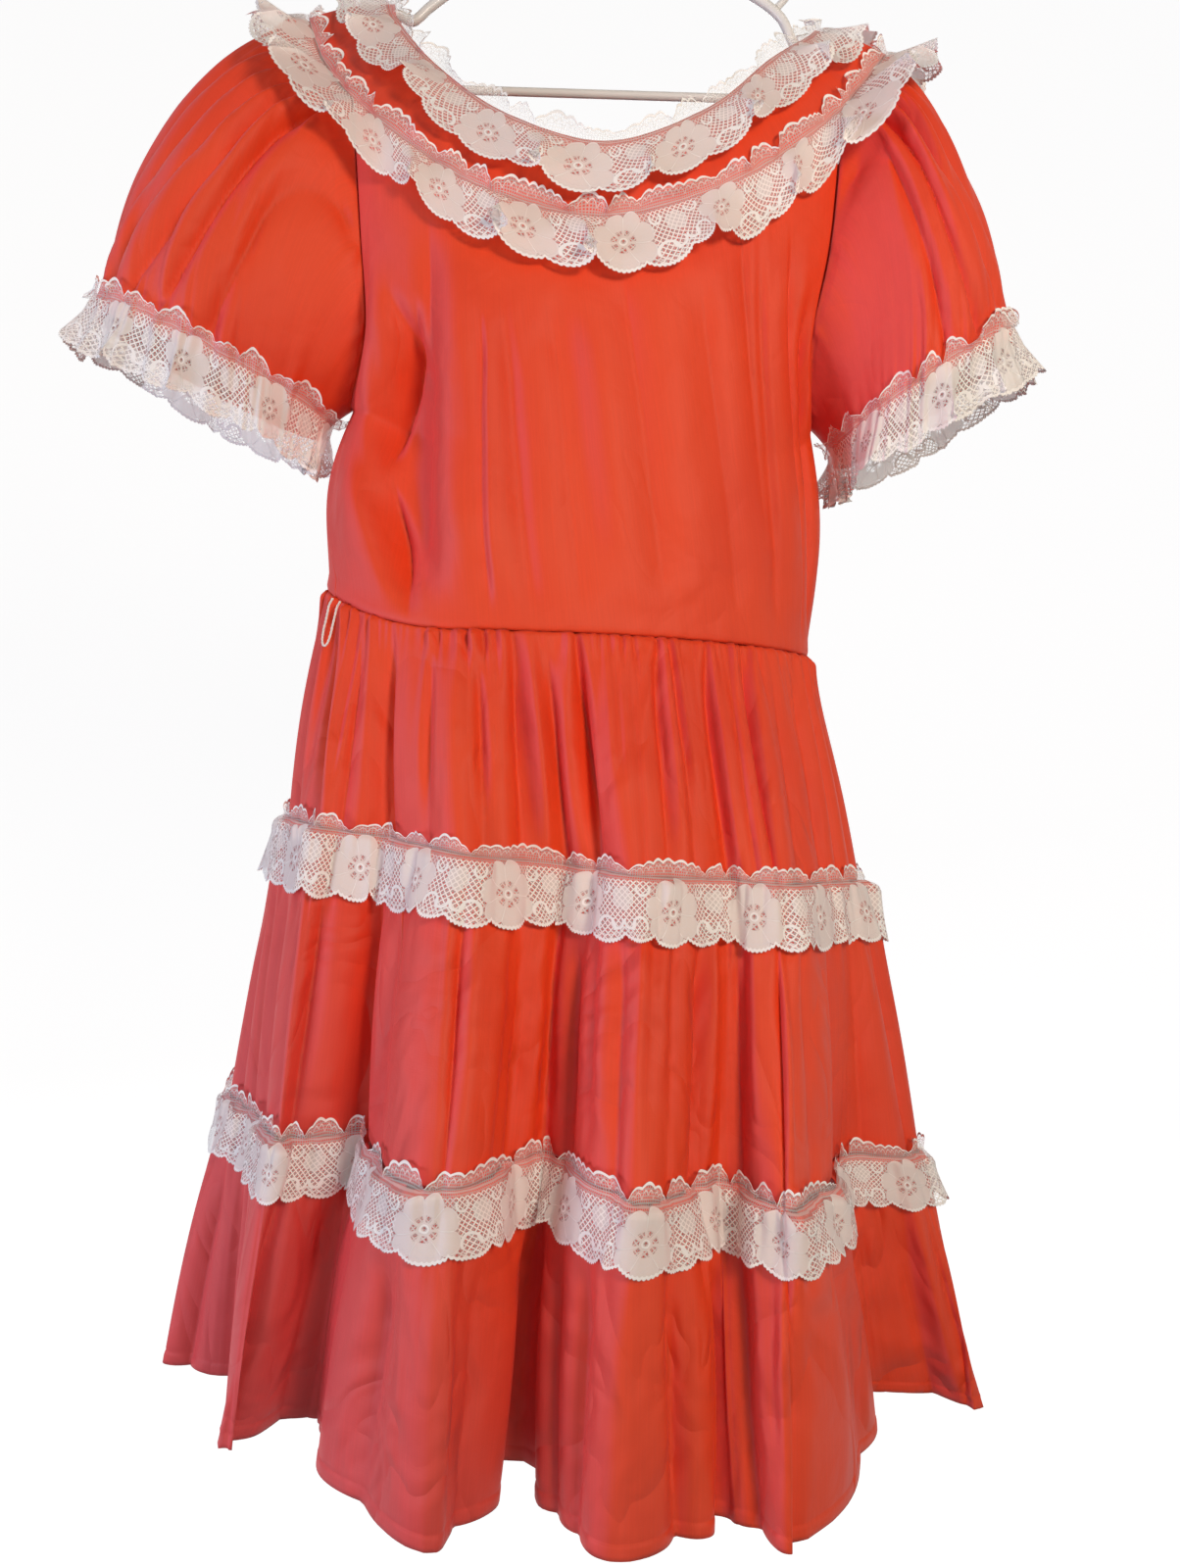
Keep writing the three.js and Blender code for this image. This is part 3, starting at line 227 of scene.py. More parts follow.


# Skirt: three tiers with the large folds of the pattern table, fine gathers and creases placed one by one

skirt = {
    "folds": [  # waist angle, then x and y on the two tier seams and the hem
        (-98, -205, 2, -242, 0, -280, -12),
        (-80, -192, -50, -208, -58, -216, -46),
        (-64, -164, -98, -176, -126, -192, -140),
        (-47, -120, -98, -124, -100, -143, -84),
        (-30, -70, -150, -68, -216, -72, -220),
        (-10, -10, -114, -14, -142, -18, -138),
        (8, 40, -156, 36, -218, 38, -222),
        (24, 86, -126, 84, -156, 92, -176),
        (40, 126, -130, 120, -200, 132, -212),
        (60, 166, -72, 168, -80, 198, -34),
        (79, 194, -28, 234, -50, 274, -66),
        (95, 178, 10, 206, 6, 240, 8),
        (108, 182, 52, 222, 62, 256, 72),
        (122, 150, 62, 174, 72, 200, 82),
        (138, 128, 100, 156, 124, 178, 142),
        (153, 98, 86, 115, 90, 130, 96),
        (168, 58, 116, 68, 140, 78, 160),
        (183, 18, 90, 22, 98, 25, 104),
        (198, -24, 116, -26, 140, -28, 160),
        (212, -62, 86, -70, 94, -78, 100),
        (226, -98, 108, -114, 132, -128, 152),
        (238, -134, 74, -152, 80, -172, 86),
        (248, -164, 74, -194, 86, -222, 98),
        (256, -180, 34, -208, 34, -238, 34),
    ],
    "levels": [(-715, 28, -12), (-877, -8, -24), (-1062, 0, 0)],  # middle, wearer's right, left
    "tiltReach": 250,
    "roundness": [0.3, 0.5, 0.85],
    "nose": [1.0, 0.9, 0.78],  # below 1 the front of a lobe is flatter and its sides steeper
    "softening": 0.1,
    "bulge": 4,
    "sideSeams": [(0.75, 11), (3.5, 9.75), (0.25, 11)],
    "columnsPerFold": 40,
    "thickness": 0.7,
    "length": [150, 165, 188],  # of each tier, down the cloth
    "pattern": 90,  # flat width of a fold place
    "seam": {"depth": 2.2, "reach": 1.8, "lowDepth": 1.6, "lowReach": 2},  # the cloth dips into each seam
    "sideSeam": {"depth": 1.2, "reach": 2.5},
    "hem": {"height": 9.5, "stitch": 8.5, "double": 0.5, "stitchDepth": 0.7},
}
tierGathers = [{"wander": 0.006, "sharp": 0.75, **own} for own in (
    {"seed": 11, "from": 26, "to": 98, "step": 3, "reach": 1500, "height": 5.8},
    {"seed": 23, "from": 30, "to": 122, "step": 4, "reach": 2000, "height": 4.6},
    {"seed": 37, "from": 34, "to": 150, "step": 4, "reach": 2400, "height": 4.2},
)]
tierCreases = [  # fold place and share of the height at both ends, depth, width in folds
    [(3.72, 0.0, 3.66, 0.8, 3.0, 0.06), (4.25, 0.05, 4.3, 0.75, 3.2, 0.05), (4.72, 0.0, 4.76, 1.0, 4.0, 0.07),
     (5.42, 0.0, 5.4, 1.0, 4.5, 0.06), (5.85, 0.0, 5.8, 0.6, 2.4, 0.05), (6.35, 0.0, 6.38, 0.9, 3.0, 0.06),
     (6.6, 0.0, 6.66, 0.6, 2.2, 0.05), (7.1, 0.05, 7.16, 1.0, 3.4, 0.07), (7.85, 0.0, 7.8, 0.8, 2.6, 0.06),
     (1.6, 0.0, 1.5, 0.9, 3.0, 0.08), (2.3, 0.0, 2.2, 0.8, 3.0, 0.07), (8.6, 0.0, 8.7, 0.8, 2.5, 0.07)],
    [(4.1, 0.0, 4.16, 0.9, 3.2, 0.06), (4.6, 0.1, 4.55, 1.0, 3.4, 0.07), (5.5, 0.0, 5.52, 0.9, 3.4, 0.06),
     (6.1, 0.0, 6.06, 0.8, 2.6, 0.06), (6.72, 0.3, 6.66, 1.05, 4.0, 0.05), (7.3, 0.0, 7.36, 0.8, 2.8, 0.07),
     (7.9, 0.1, 8.05, 0.9, 2.6, 0.06), (1.4, 0.0, 1.5, 0.9, 3.4, 0.08), (2.4, 0.0, 2.3, 0.9, 3.6, 0.08)],
    [(3.8, 0.0, 3.76, 0.8, 3.0, 0.06), (4.3, 0.0, 4.36, 1.0, 3.4, 0.07), (5.6, 0.0, 5.55, 0.9, 3.0, 0.07),
     (6.3, 0.0, 6.34, 1.0, 3.2, 0.07), (6.8, 0.1, 6.84, 1.0, 3.4, 0.06), (7.6, 0.0, 7.56, 0.8, 3.0, 0.07),
     (8.3, 0.0, 8.34, 1.0, 3.2, 0.07), (9.5, 0.0, 9.44, 0.9, 3.0, 0.07), (1.5, 0.0, 1.44, 1.0, 3.6, 0.08),
     (2.3, 0.1, 2.26, 0.9, 3.2, 0.07)],
]
tierPleats = [  # fold place of a valley on the front, its shift down the tier, depth, reach before and after
    [(0.6, -0.05, 6, 0.4, 0.3), (1.2, 0.0, 4, 0.4, 0.3), (1.75, 0.05, 6, 0.3, 0.4), (2.45, 0.0, 5, 0.4, 0.25),
     (3.06, 0.04, 8, 0.5, 0.13), (3.66, -0.02, 3, 0.3, 0.3), (4.3, 0.02, 5, 0.45, 0.28), (4.63, 0.04, 8, 0.22, 0.2),
     (5.03, 0.03, 6, 0.2, 0.2), (5.38, -0.02, 9, 0.22, 0.4), (6.0, 0.02, 3, 0.4, 0.2), (6.33, 0.0, 5, 0.4, 0.2),
     (6.62, 0.04, 3.5, 0.2, 0.3), (7.08, 0.04, 6, 0.42, 0.36), (7.5, 0.0, 3, 0.2, 0.2), (7.82, 0.03, 7, 0.34, 0.28),
     (8.3, 0.0, 4, 0.3, 0.3), (8.8, 0.02, 6, 0.4, 0.3)],
    [(0.5, 0.0, 6, 0.4, 0.4), (1.0, 0.0, 4, 0.3, 0.3), (1.42, 0.05, 6, 0.4, 0.3), (1.9, 0.0, 4, 0.3, 0.3),
     (2.35, 0.0, 7, 0.4, 0.3), (3.0, 0.04, 8, 0.4, 0.2), (3.45, -0.02, 4, 0.2, 0.4), (4.1, 0.0, 6, 0.4, 0.3),
     (4.7, 0.03, 9, 0.28, 0.18), (5.0, 0.0, 5, 0.2, 0.2), (5.27, -0.03, 7, 0.2, 0.4), (5.76, 0.0, 6, 0.3, 0.3),
     (6.3, 0.0, 4, 0.3, 0.3), (6.7, -0.06, 8, 0.34, 0.2), (7.22, 0.0, 6, 0.3, 0.3), (7.75, 0.05, 6, 0.4, 0.2),
     (8.15, 0.1, 5, 0.3, 0.3), (8.7, 0.0, 6, 0.3, 0.3)],
    [(0.6, 0.0, 6, 0.4, 0.4), (1.1, 0.0, 4, 0.3, 0.3), (1.5, -0.05, 7, 0.4, 0.4), (2.25, 0.04, 7, 0.4, 0.3),
     (2.75, 0.0, 5, 0.3, 0.3), (3.3, 0.0, 5, 0.3, 0.3), (3.8, -0.04, 6, 0.3, 0.3), (4.45, 0.04, 7, 0.4, 0.3),
     (4.97, 0.0, 16, 0.26, 0.24), (5.3, 0.03, 5, 0.1, 0.3), (5.6, -0.04, 6, 0.3, 0.4), (6.3, 0.04, 7, 0.4, 0.3),
     (6.86, 0.0, 7, 0.3, 0.2), (7.24, 0.0, 5, 0.2, 0.4), (7.88, 0.04, 6, 0.4, 0.3), (8.4, 0.0, 5, 0.3, 0.3),
     (8.75, 0.03, 6, 0.3, 0.3), (9.38, 0.0, 5, 0.3, 0.3), (9.72, 0.03, 4, 0.2, 0.3)],
]
pleatScale = (1.5, 1.6, 1.7)
# the sides and back, which don't show in the photo
plainPleats = {"seed": 41, "from": 9.3, "to": 24.2, "step": 0.56, "depth": (4, 8)}
foldCount = len(skirt["folds"])
foldTable = np.array(skirt["folds"], float)
dice = np.random.RandomState(plainPleats["seed"])
for rows in tierPleats:
    place = max(plainPleats["from"], rows[-1][0] + 0.5)
    while place < plainPleats["to"]:
        rows.append((place, dice.uniform(-0.06, 0.06), dice.uniform(*plainPleats["depth"]),
                     dice.uniform(0.2, 0.45), dice.uniform(0.2, 0.45)))
        place += plainPleats["step"] * dice.uniform(0.75, 1.3)


def waistAngle(at):
    base = np.floor(at).astype(int)
    low = foldTable[base % foldCount, 0] + 360 * (base // foldCount)
    high = foldTable[(base + 1) % foldCount, 0] + 360 * ((base + 1) // foldCount)
    return low + (high - low) * (at - base)


def foldRing(seam, at):  # the lobed line of a tier seam or the hem, its corners rounded
    reach, shares = skirt["softening"], (1, 2, 3, 2, 1)
    return sum(share * lobeRing(seam, at + reach * (k - 2)) for k, share in enumerate(shares)) / sum(shares)


def lobeRing(seam, at):
    base = np.floor(at).astype(int)
    table = foldTable[:, 1 + 2 * seam : 3 + 2 * seam]
    fromRidge = base % 2 == 0
    t = np.where(fromRidge, at - base, 1 - (at - base))
    ridge = table[np.where(fromRidge, base, base + 1) % foldCount]
    trough = table[np.where(fromRidge, base + 1, base) % foldCount]
    radial = unit(ridge + trough)
    step = trough - ridge
    inward = radial * np.sum(step * radial, -1, keepdims=True)
    roundness = skirt["roundness"][seam]
    soft, quarter, nose = (1 - np.cos(np.pi * t)) / 2, np.pi * t / 2, skirt["nose"][seam]
    alongShare = t + (np.sin(quarter) ** nose - t) * roundness
    inwardShare = soft + (1 - np.clip(np.cos(quarter), 0, 1) ** nose - soft) * roundness
    place = ridge + (step - inward) * alongShare[..., None] + inward * inwardShare[..., None]
    middle, right, left = skirt["levels"][seam]
    x = place[..., 0]
    level = middle + np.where(x < 0, -right * x, left * x) / skirt["tiltReach"]
    return np.concatenate([place, level[..., None]], -1)


def skirtRing(k, at):
    return waistPoint(waistAngle(at)) if k == 0 else foldRing(k - 1, at)


def ringNormal(k, at):
    return outwardOf(skirtRing(k, at + 0.1) - skirtRing(k, at - 0.1))


def tierFrame(k, at, v):
    return (mix(skirtRing(k, at), skirtRing(k + 1, at), v),
            unit(mix(ringNormal(k, at), ringNormal(k + 1, at), v)))


def tierCloth(k, at, v):
    base, normal = tierFrame(k, at, v)
    length = skirt["length"][k]
    drop = v * length
    onRidge = 0.5 + 0.5 * np.cos(np.pi * at)
    out = skirt["bulge"] * np.sin(np.pi * v) + 1.0 - 0.4 * v
    rise = 0.5 + 0.5 * smoothstep(drop, 0, 6)
    out = out + gatherHeight(at / foldCount, drop, tierGathers[k]) * (0.6 + 0.4 * onRidge) * rise
    flat = skirt["pattern"]
    out = out + creaseHeight(at * flat, drop, [
        (a0 * flat, d0 * length, a1 * flat, d1 * length, depth, width * flat)
        for a0, d0, a1, d1, depth, width in tierCreases[k]])
    own = pleatHeight(at, v, tierPleats[k], foldCount) * pleatScale[k] * (0.1 + 0.9 * smoothstep(v, 0, 0.4))
    if k:  # a pleat of the tier above runs on over the seam and fades
        upper = pleatHeight(at, 1 + 0 * v, tierPleats[k - 1], foldCount) * pleatScale[k - 1] * 0.75
        own = mix(upper[..., None], own[..., None], smoothstep(v, 0, 0.45))[..., 0]
    out = out + own * (1 - 0.25 * smoothstep(v, 0.7, 1) * (k < 2))
    seam, hem, toEdge = skirt["seam"], skirt["hem"], length - drop
    out = out - seam["depth"] * np.exp(-((drop / seam["reach"]) ** 2))
    if k < 2:
        out = out - seam["lowDepth"] * np.exp(-((toEdge / seam["lowReach"]) ** 2))
    else:
        out = out + hem["double"] * smoothstep(-toEdge, -hem["height"], 1.5 - hem["height"])
        out = out - hem["stitchDepth"] * np.exp(-((toEdge - hem["stitch"]) ** 2))
    return base + normal * out[..., None]


def tierRows(k):
    top = [0, 1.5, 3, 5, 8, 12, 17, 24]
    length = skirt["length"][k]
    bottom = [length - 6, length - 3, length - 1.5, length] if k < 2 else [
        length - 14, length - 11, length - 9.5, length - 8.5, length - 7.5, length - 6, length - 3, length]
    middle = np.linspace(32, bottom[0] - 7, 16)
    return np.array([*top, *middle, *bottom]) / length


def makeTier(k, half):
    start, end = skirt["sideSeams"][k]
    if half == "back":
        start, end = end, start + foldCount
    count = int(round((end - start) * skirt["columnsPerFold"])) + 1
    at, v = np.meshgrid(np.linspace(start, end, count), tierRows(k))
    points = tierCloth(k, at, v)
    aside, seam = np.minimum(at - start, end - at) * skirt["pattern"], skirt["sideSeam"]
    _, normal = tierFrame(k, at, v)
    points = points - normal * (seam["depth"] * np.exp(-((aside / seam["reach"]) ** 2)))[..., None]
    return clothObject(f"tier{k + 1}{half.capitalize()}", points,
                       maps={"clothMap": patternMap(points, False)}, thickness=skirt["thickness"])


# Yoke

yoke = {
    "seam": [
        (-4, 76, -262), (-80, 72, -254), (-150, 56, -232), (-192, 31, -184), (-206, 0, -139), (-184, -34, -192),
        (-143, -65, -244), (-76, -85, -294), (2, -90, -313), (82, -86, -288), (142, -64, -238), (172, -34, -194),
        (196, 0, -152), (184, 31, -188), (146, 56, -230), (78, 72, -254),
    ],
    "neckline": [
        (-2, 70, -226), (-50, 66, -220), (-96, 50, -200), (-134, 24, -152), (-146, 0, -128), (-138, -24, -155),
        (-108, -50, -199), (-60, -76, -243), (4, -88, -265), (66, -76, -236), (108, -50, -188), (135, -24, -157),
        (146, 0, -138), (134, 24, -158), (98, 50, -198), (48, 66, -219),
    ],
    "bulge": 2.5,
    "columns": 200,
    "rows": 12,
    "thickness": 0.7,
}


def yokeSeam(angle):
    return smoothRing(yoke["seam"], (angle + 180) / 22.5)


def neckline(angle):
    return smoothRing(yoke["neckline"], (angle + 180) / 22.5)


def yokePlain(angle, v):
    return mix(neckline(angle), yokeSeam(angle), v)


def yokeNormal(angle, v):
    return surfaceNormal(yokePlain, angle, v, 2, 0.05)


def yokePoint(angle, v):
    return yokePlain(angle, v) + yokeNormal(angle, v) * (yoke["bulge"] * np.sin(np.pi * v))[..., None]


def makeYoke(half):
    start = -90 if half == "front" else 90
    angle, v = np.meshgrid(np.linspace(start, start + 180, yoke["columns"]), np.linspace(0, 1, yoke["rows"]))
    points = yokePoint(angle, v)
    return clothObject(f"yoke{half.capitalize()}", points,
                       maps={"clothMap": patternMap(points, False)}, thickness=yoke["thickness"])


# Bodice

bodice = {
    "sideAngles": {"right": -72, "left": 100},
    "armholeAngle": 54,
    "armholes": {
        "right": [(-153, -60, -315), (-150, -50, -372), (-166, -4, -412), (-150, 42, -368), (-154, 54, -312)],
        "left": [(150, -56, -312), (142, -44, -368), (150, 4, -412), (140, 46, -366), (148, 56, -310)],
    },
    "armholeShare": 0.58,
    "fullness": 10,
    "edgeFade": 6,
    "sideSwell": 12,
    "waistFlattens": 0.88,
    "folds": [  # place at the top and waist, depth, width, from, to: the large folds of the pattern
        (0.14, 0.19, -20, 0.045, 0.28, 1.0),
        (0.05, 0.09, 9, 0.05, 0.2, 0.95),
        (0.25, 0.28, 7, 0.05, 0.1, 0.95),
        (0.33, 0.35, -5, 0.03, 0.25, 1.05),
        (0.42, 0.43, -3, 0.04, 0.15, 0.95),
        (0.76, 0.71, -4, 0.03, 0.1, 1.05),
        (0.9, 0.86, -5, 0.05, 0.2, 0.95),
    ],
    "creases": [  # across and down a flat panel 400 wide and 300 high: from, to, depth, width
        (132, 70, 140, 300, 1.6, 4), (302, 25, 284, 300, 1.6, 3.5), (170, 60, 176, 260, 1.4, 9),
        (215, 80, 212, 280, 1.2, 12), (250, 40, 246, 220, 1.0, 10), (330, 60, 318, 250, 1.6, 9),
        (352, 110, 340, 270, 1.6, 8), (30, 120, 62, 215, 2.0, 7), (44, 92, 92, 150, 2.4, 6),
        (30, 190, 70, 262, 1.6, 7), (100, 110, 112, 240, 1.4, 8), (372, 128, 330, 170, 1.4, 7),
    ],
    "pleats": [  # place across at the top and its shift, depth, reach before and after, from, to
        (0.21, -0.12, 13, 0.06, 0.02, 0.28, 0.72), (0.04, 0.14, 12, 0.05, 0.03, 0.64, 1.1),
        (0.2, 0.0, 5, 0.05, 0.05, 0.1, 0.9), (0.295, 0.0, 6, 0.07, 0.012, 0.25, 1.0),
        (0.4, 0.01, 5, 0.09, 0.08, 0.2, 1.0), (0.52, 0.0, 5, 0.08, 0.05, 0.1, 0.95),
        (0.64, -0.01, 5, 0.06, 0.09, 0.15, 1.0), (0.72, -0.02, 5, 0.06, 0.04, 0.05, 0.8),
        (0.825, -0.02, 6, 0.012, 0.06, 0.12, 1.05), (0.9, -0.04, 7, 0.05, 0.06, 0.25, 1.05),
    ],
    "flat": (400, 300),  # width and height of a panel laid flat
    "tuck": {"waist": 1.4, "side": 0.1, "reach": 2},  # how far the edges dip into their seams
    "columns": {"front": 300, "back": 150},
    "rows": 96,
    "thickness": 0.7,
}


def armholePoint(side, t):
    sign = -1 if side == "right" else 1
    a = bodice["armholeAngle"]
    start, end = (yokeSeam(np.array(sign * angle)) for angle in (a, 180 - a))
    return openCurve([start, *bodice["armholes"][side], end], t)


def sideSeamPoint(side, s):
    sign = -1 if side == "right" else 1
    swell = bodice["sideSwell"] * np.sin(np.pi * np.minimum(1, s * 1.1)) * sign
    start, end = armholePoint(side, np.array(0.5)), waistPoint(np.array(bodice["sideAngles"][side]))
    return mix(start, end, s) + swell[..., None] * np.array([1.0, 0, 0])


def bodiceEdge(side, half, v):
    share = bodice["armholeShare"]
    along = 0.5 * np.minimum(v, share) / share
    onArmhole = armholePoint(side, along if half == "front" else 1 - along)
    onSeam = sideSeamPoint(side, np.clip((v - share) / (1 - share), 0, 1))
    return np.where((v > share)[..., None], onSeam, onArmhole)


def bodiceEnds(half):
    a, sides = bodice["armholeAngle"], bodice["sideAngles"]
    if half == "front":
        return ("right", "left"), (-a, a), (sides["right"], sides["left"])
    return ("left", "right"), (180 - a, 180 + a), (sides["left"], sides["right"] + 360)


def bodicePlain(half, u, v):
    sides, tops, waists = bodiceEnds(half)
    u = np.clip(u, 0, 1)
    top = yokeSeam(tops[0] + (tops[1] - tops[0]) * u)
    bottom = waistPoint(waists[0] + (waists[1] - waists[0]) * u)
    surface = mix(top, bottom, v)
    for side, topAngle, waistTurn, nearness in zip(sides, tops, waists, (1 - u, u)):
        straight = mix(yokeSeam(np.array(topAngle)), waistPoint(np.array(waistTurn)), v)
        share = (nearness ** bodice["edgeFade"])[..., None]
        surface = surface + (bodiceEdge(side, half, v) - straight) * share
    return surface


def bodicePoint(half, u, v):
    base = bodicePlain(half, u, v)
    out = bodice["fullness"] * np.sin(np.pi * np.clip(u, 0, 1)) * np.sin(np.pi * v)
    if half == "front":
        for top, waist, depth, width, low, high in bodice["folds"]:
            across = np.exp(-(((u - top - (waist - top) * v) / width) ** 2))
            out = out + depth * across * between(v, low, high, 0.2) * between(u, 0, 1, 0.05)
        wide, tall = bodice["flat"]
        out = out + creaseHeight(u * wide, v * tall, bodice["creases"]) * between(u, 0, 1, 0.04)
        for *row, low, high in bodice["pleats"]:
            out = out + pleatHeight(u, v, [row], 10) * between(v, low, high, 0.15) * between(u, 0, 1, 0.03)
    side = -90 if half == "front" else 90
    outward = unit(np.stack([base[..., 0] * 0.25, 0 * u + side, 0 * u], -1))
    return base + outward * (out * (1 - smoothstep(v, bodice["waistFlattens"], 1)))[..., None]


def makeBodice(half):
    v = np.concatenate([np.linspace(0, 0.97, bodice["rows"] - 4), [0.98, 0.988, 0.994, 1.0]])
    u, v = np.meshgrid(np.linspace(0, 1, bodice["columns"][half]), v)
    points = bodicePoint(half, u, v)
    normal = surfaceNormal(lambda a, b: bodicePlain(half, a, b), np.clip(u, 0.01, 0.99), v, 0.01, 0.02)
    tuck, (wide, tall) = bodice["tuck"], bodice["flat"]
    dip = tuck["waist"] * np.exp(-(((1 - v) * tall / tuck["reach"]) ** 2))
    dip = dip + tuck["side"] * np.exp(-((np.minimum(u, 1 - u) * wide / tuck["reach"]) ** 2))
    points = points - normal * dip[..., None]
    return clothObject(f"bodice{half.capitalize()}", points,
                       maps={"clothMap": patternMap(points, False)}, thickness=bodice["thickness"])


# Sleeves

sleeves = {
    "right": {
        "cuffOuter": (-346, 0, -355), "cuffInner": (-190, 0, -428), "cuffDepth": 62,
        "capPull": {"top": (-86, 0, -13), "front": (-48, -38, 2), "under": (-8, 0, -5), "back": (-50, 30, 2)},
        "cuffPull": {"top": (1, 0, 85), "front": (9, -38, 46), "under": (6, 0, 4), "back": (9, 30, 46)},
        "creases": [  # turn round the sleeve in degrees from the top by way of the front, and share of the length
            (12, 0.1, 8, 0.6, 2.5, 8), (38, 0.05, 26, 0.6, 2.5, 7), (62, 0.0, 46, 0.6, 3.0, 6),
            (84, 0.0, 66, 0.5, 3.5, 5), (100, 0.05, 80, 0.6, 3.5, 6), (120, 0.1, 96, 0.7, 3.5, 6),
            (-24, 0.1, -20, 0.8, 3.5, 7), (48, 0.55, 40, 1.0, 3.5, 6), (76, 0.5, 70, 1.0, 3.5, 5),
        ],
        "pleats": [(10, -10, 4, 18, 14), (48, -40, 7, 18, 12), (74, -56, 9, 16, 9), (96, -62, 11, 14, 7),
                   (112, -58, 9, 10, 7), (126, -52, 9, 9, 8), (140, -40, 7, 9, 9),
                   (-16, 0, 5, 12, 12), (-52, 4, 6, 14, 14), (-96, 0, 6, 16, 14), (-130, 0, 5, 14, 12)],
    },
    "left": {
        "cuffOuter": (286, 0, -359), "cuffInner": (172, 0, -436), "cuffDepth": 76,
        "capPull": {"top": (32, 0, -5), "front": (40, -42, 0), "under": (8, 0, -5), "back": (42, 30, 2)},
        "cuffPull": {"top": (0, 0, 69), "front": (-4, -34, 46), "under": (-4, 0, 4), "back": (-4, 26, 46)},
        "creases": [
            (20, 0.1, 16, 0.6, 2.5, 8), (46, 0.1, 34, 0.6, 2.5, 7), (70, 0.05, 56, 0.7, 3.0, 6),
            (92, 0.05, 76, 0.6, 3.5, 6), (110, 0.1, 92, 0.7, 3.0, 6), (-20, 0.1, -16, 0.8, 3.5, 7),
        ],
        "pleats": [(16, -10, 4, 14, 14), (50, -38, 7, 16, 12), (78, -50, 9, 16, 9), (98, -54, 9, 12, 8),
                   (116, -48, 8, 10, 8), (132, -40, 7, 9, 9), (-18, 0, 5, 12, 12), (-56, 4, 6, 14, 14),
                   (-100, 0, 6, 16, 14), (-132, 0, 5, 14, 12)],
    },
    "capColumns": 24,
    "turnColumns": 36,
    "length": 165,
    "tuck": {"depth": 0.1, "reach": 2},
    "gathers": {"seed": 5, "from": 13, "to": 79, "step": 2, "reach": 900, "wander": 0.006, "height": 5.6,
                "sharp": 0.6},
    "cuffGathers": {"seed": 8, "from": 11, "to": 67, "step": 2, "reach": 800, "wander": 0.006, "height": 3.4,
                    "sharp": 0.6},
    "columns": 324,
    "rows": 58,
    "thickness": 0.7,
}


def capEdge(side, column):
    caps, turns = sleeves["capColumns"], sleeves["turnColumns"]
    a = bodice["armholeAngle"]
    first = -(180 - a) if side == "right" else a
    onYoke = yokeSeam(first + (180 - 2 * a) / caps * np.minimum(column, caps))
    t = np.clip((column - caps) / (turns - caps), 0, 1)
    under = armholePoint(side, t if side == "right" else 1 - t)
    return np.where((column > caps)[..., None], under, onYoke)


def sleeveTurn(side, column):
    turn = (column - sleeves["capColumns"] / 2) / sleeves["turnColumns"] * 2 * np.pi
    return turn if side == "right" else -turn


def pullAt(pulls, turn):
    upDown, frontBack = np.cos(turn)[..., None], np.sin(turn)[..., None]
    vertical = np.where(upDown > 0, pulls["top"], pulls["under"]) * upDown**2
    return vertical + np.where(frontBack > 0, pulls["front"], pulls["back"]) * frontBack**2


def sleevePlain(side, column, v):
    s = sleeves[side]
    column = column % sleeves["turnColumns"]
    turn = sleeveTurn(side, column)
    start = capEdge(side, column)
    outer, inner = np.array(s["cuffOuter"], float), np.array(s["cuffInner"], float)
    centre = (outer + inner) / 2
    end = centre + (outer - centre) * np.cos(turn)[..., None]
    end = end + np.sin(turn)[..., None] * np.array([0, -s["cuffDepth"], 0])
    afterStart, beforeEnd = start + pullAt(s["capPull"], turn), end + pullAt(s["cuffPull"], turn)
    t = np.asarray(v)[..., None]
    return (start * (1 - t) ** 3 + 3 * afterStart * t * (1 - t) ** 2
            + 3 * beforeEnd * t**2 * (1 - t) + end * t**3)


def sleeveNormal(side, column, v):
    return surfaceNormal(lambda c, row: sleevePlain(side, c, row), column, v, 0.4, 0.03)


def sleevePoint(side, column, v):
    normal = sleeveNormal(side, column, v)
    turn = np.degrees(sleeveTurn(side, column % sleeves["turnColumns"]))
    around = column / sleeves["turnColumns"]
    onTop = 0.3 + 0.7 * np.cos(np.radians(turn) / 2) ** 2
    length, tuck = sleeves["length"], sleeves["tuck"]
    out = gatherHeight(around, v * length, sleeves["gathers"]) * onTop * smoothstep(v, 0, 0.06)
    cuff = 0.4 + 0.6 * smoothstep(1 - v, 0, 0.06)
    out = out + gatherHeight(around, (1 - v) * length, sleeves["cuffGathers"]) * cuff
    out = out + 2.0 * smoothstep(v, 0, 0.12) * onTop
    turnFold = (turn + 180) % 360 - 180
    out = out + creaseHeight(turnFold, v * 100, [
        (a0, d0 * 100, a1, d1 * 100, depth, width)
        for a0, d0, a1, d1, depth, width in sleeves[side]["creases"]])
    out = out + pleatHeight(turnFold, v, sleeves[side]["pleats"], 360) * between(v, 0, 1, 0.12)
    out = out - tuck["depth"] * np.exp(-((v * length / tuck["reach"]) ** 2))
    return sleevePlain(side, column, v) + normal * out[..., None]


def makeSleeve(side):
    count = sleeves["columns"]
    rows = np.concatenate([[0, 0.008, 0.018, 0.03, 0.045, 0.065], np.linspace(0.09, 1, sleeves["rows"] - 6)])
    column, v = np.meshgrid(np.arange(count) * sleeves["turnColumns"] / count, rows)
    points = sleevePoint(side, column, v)
    return clothObject(f"sleeve{side.capitalize()}", points, closed=True,
                       maps={"clothMap": patternMap(points, True)}, thickness=sleeves["thickness"])


# Lace: 46 wide, gathered on a stitch line 10 below its upper edge

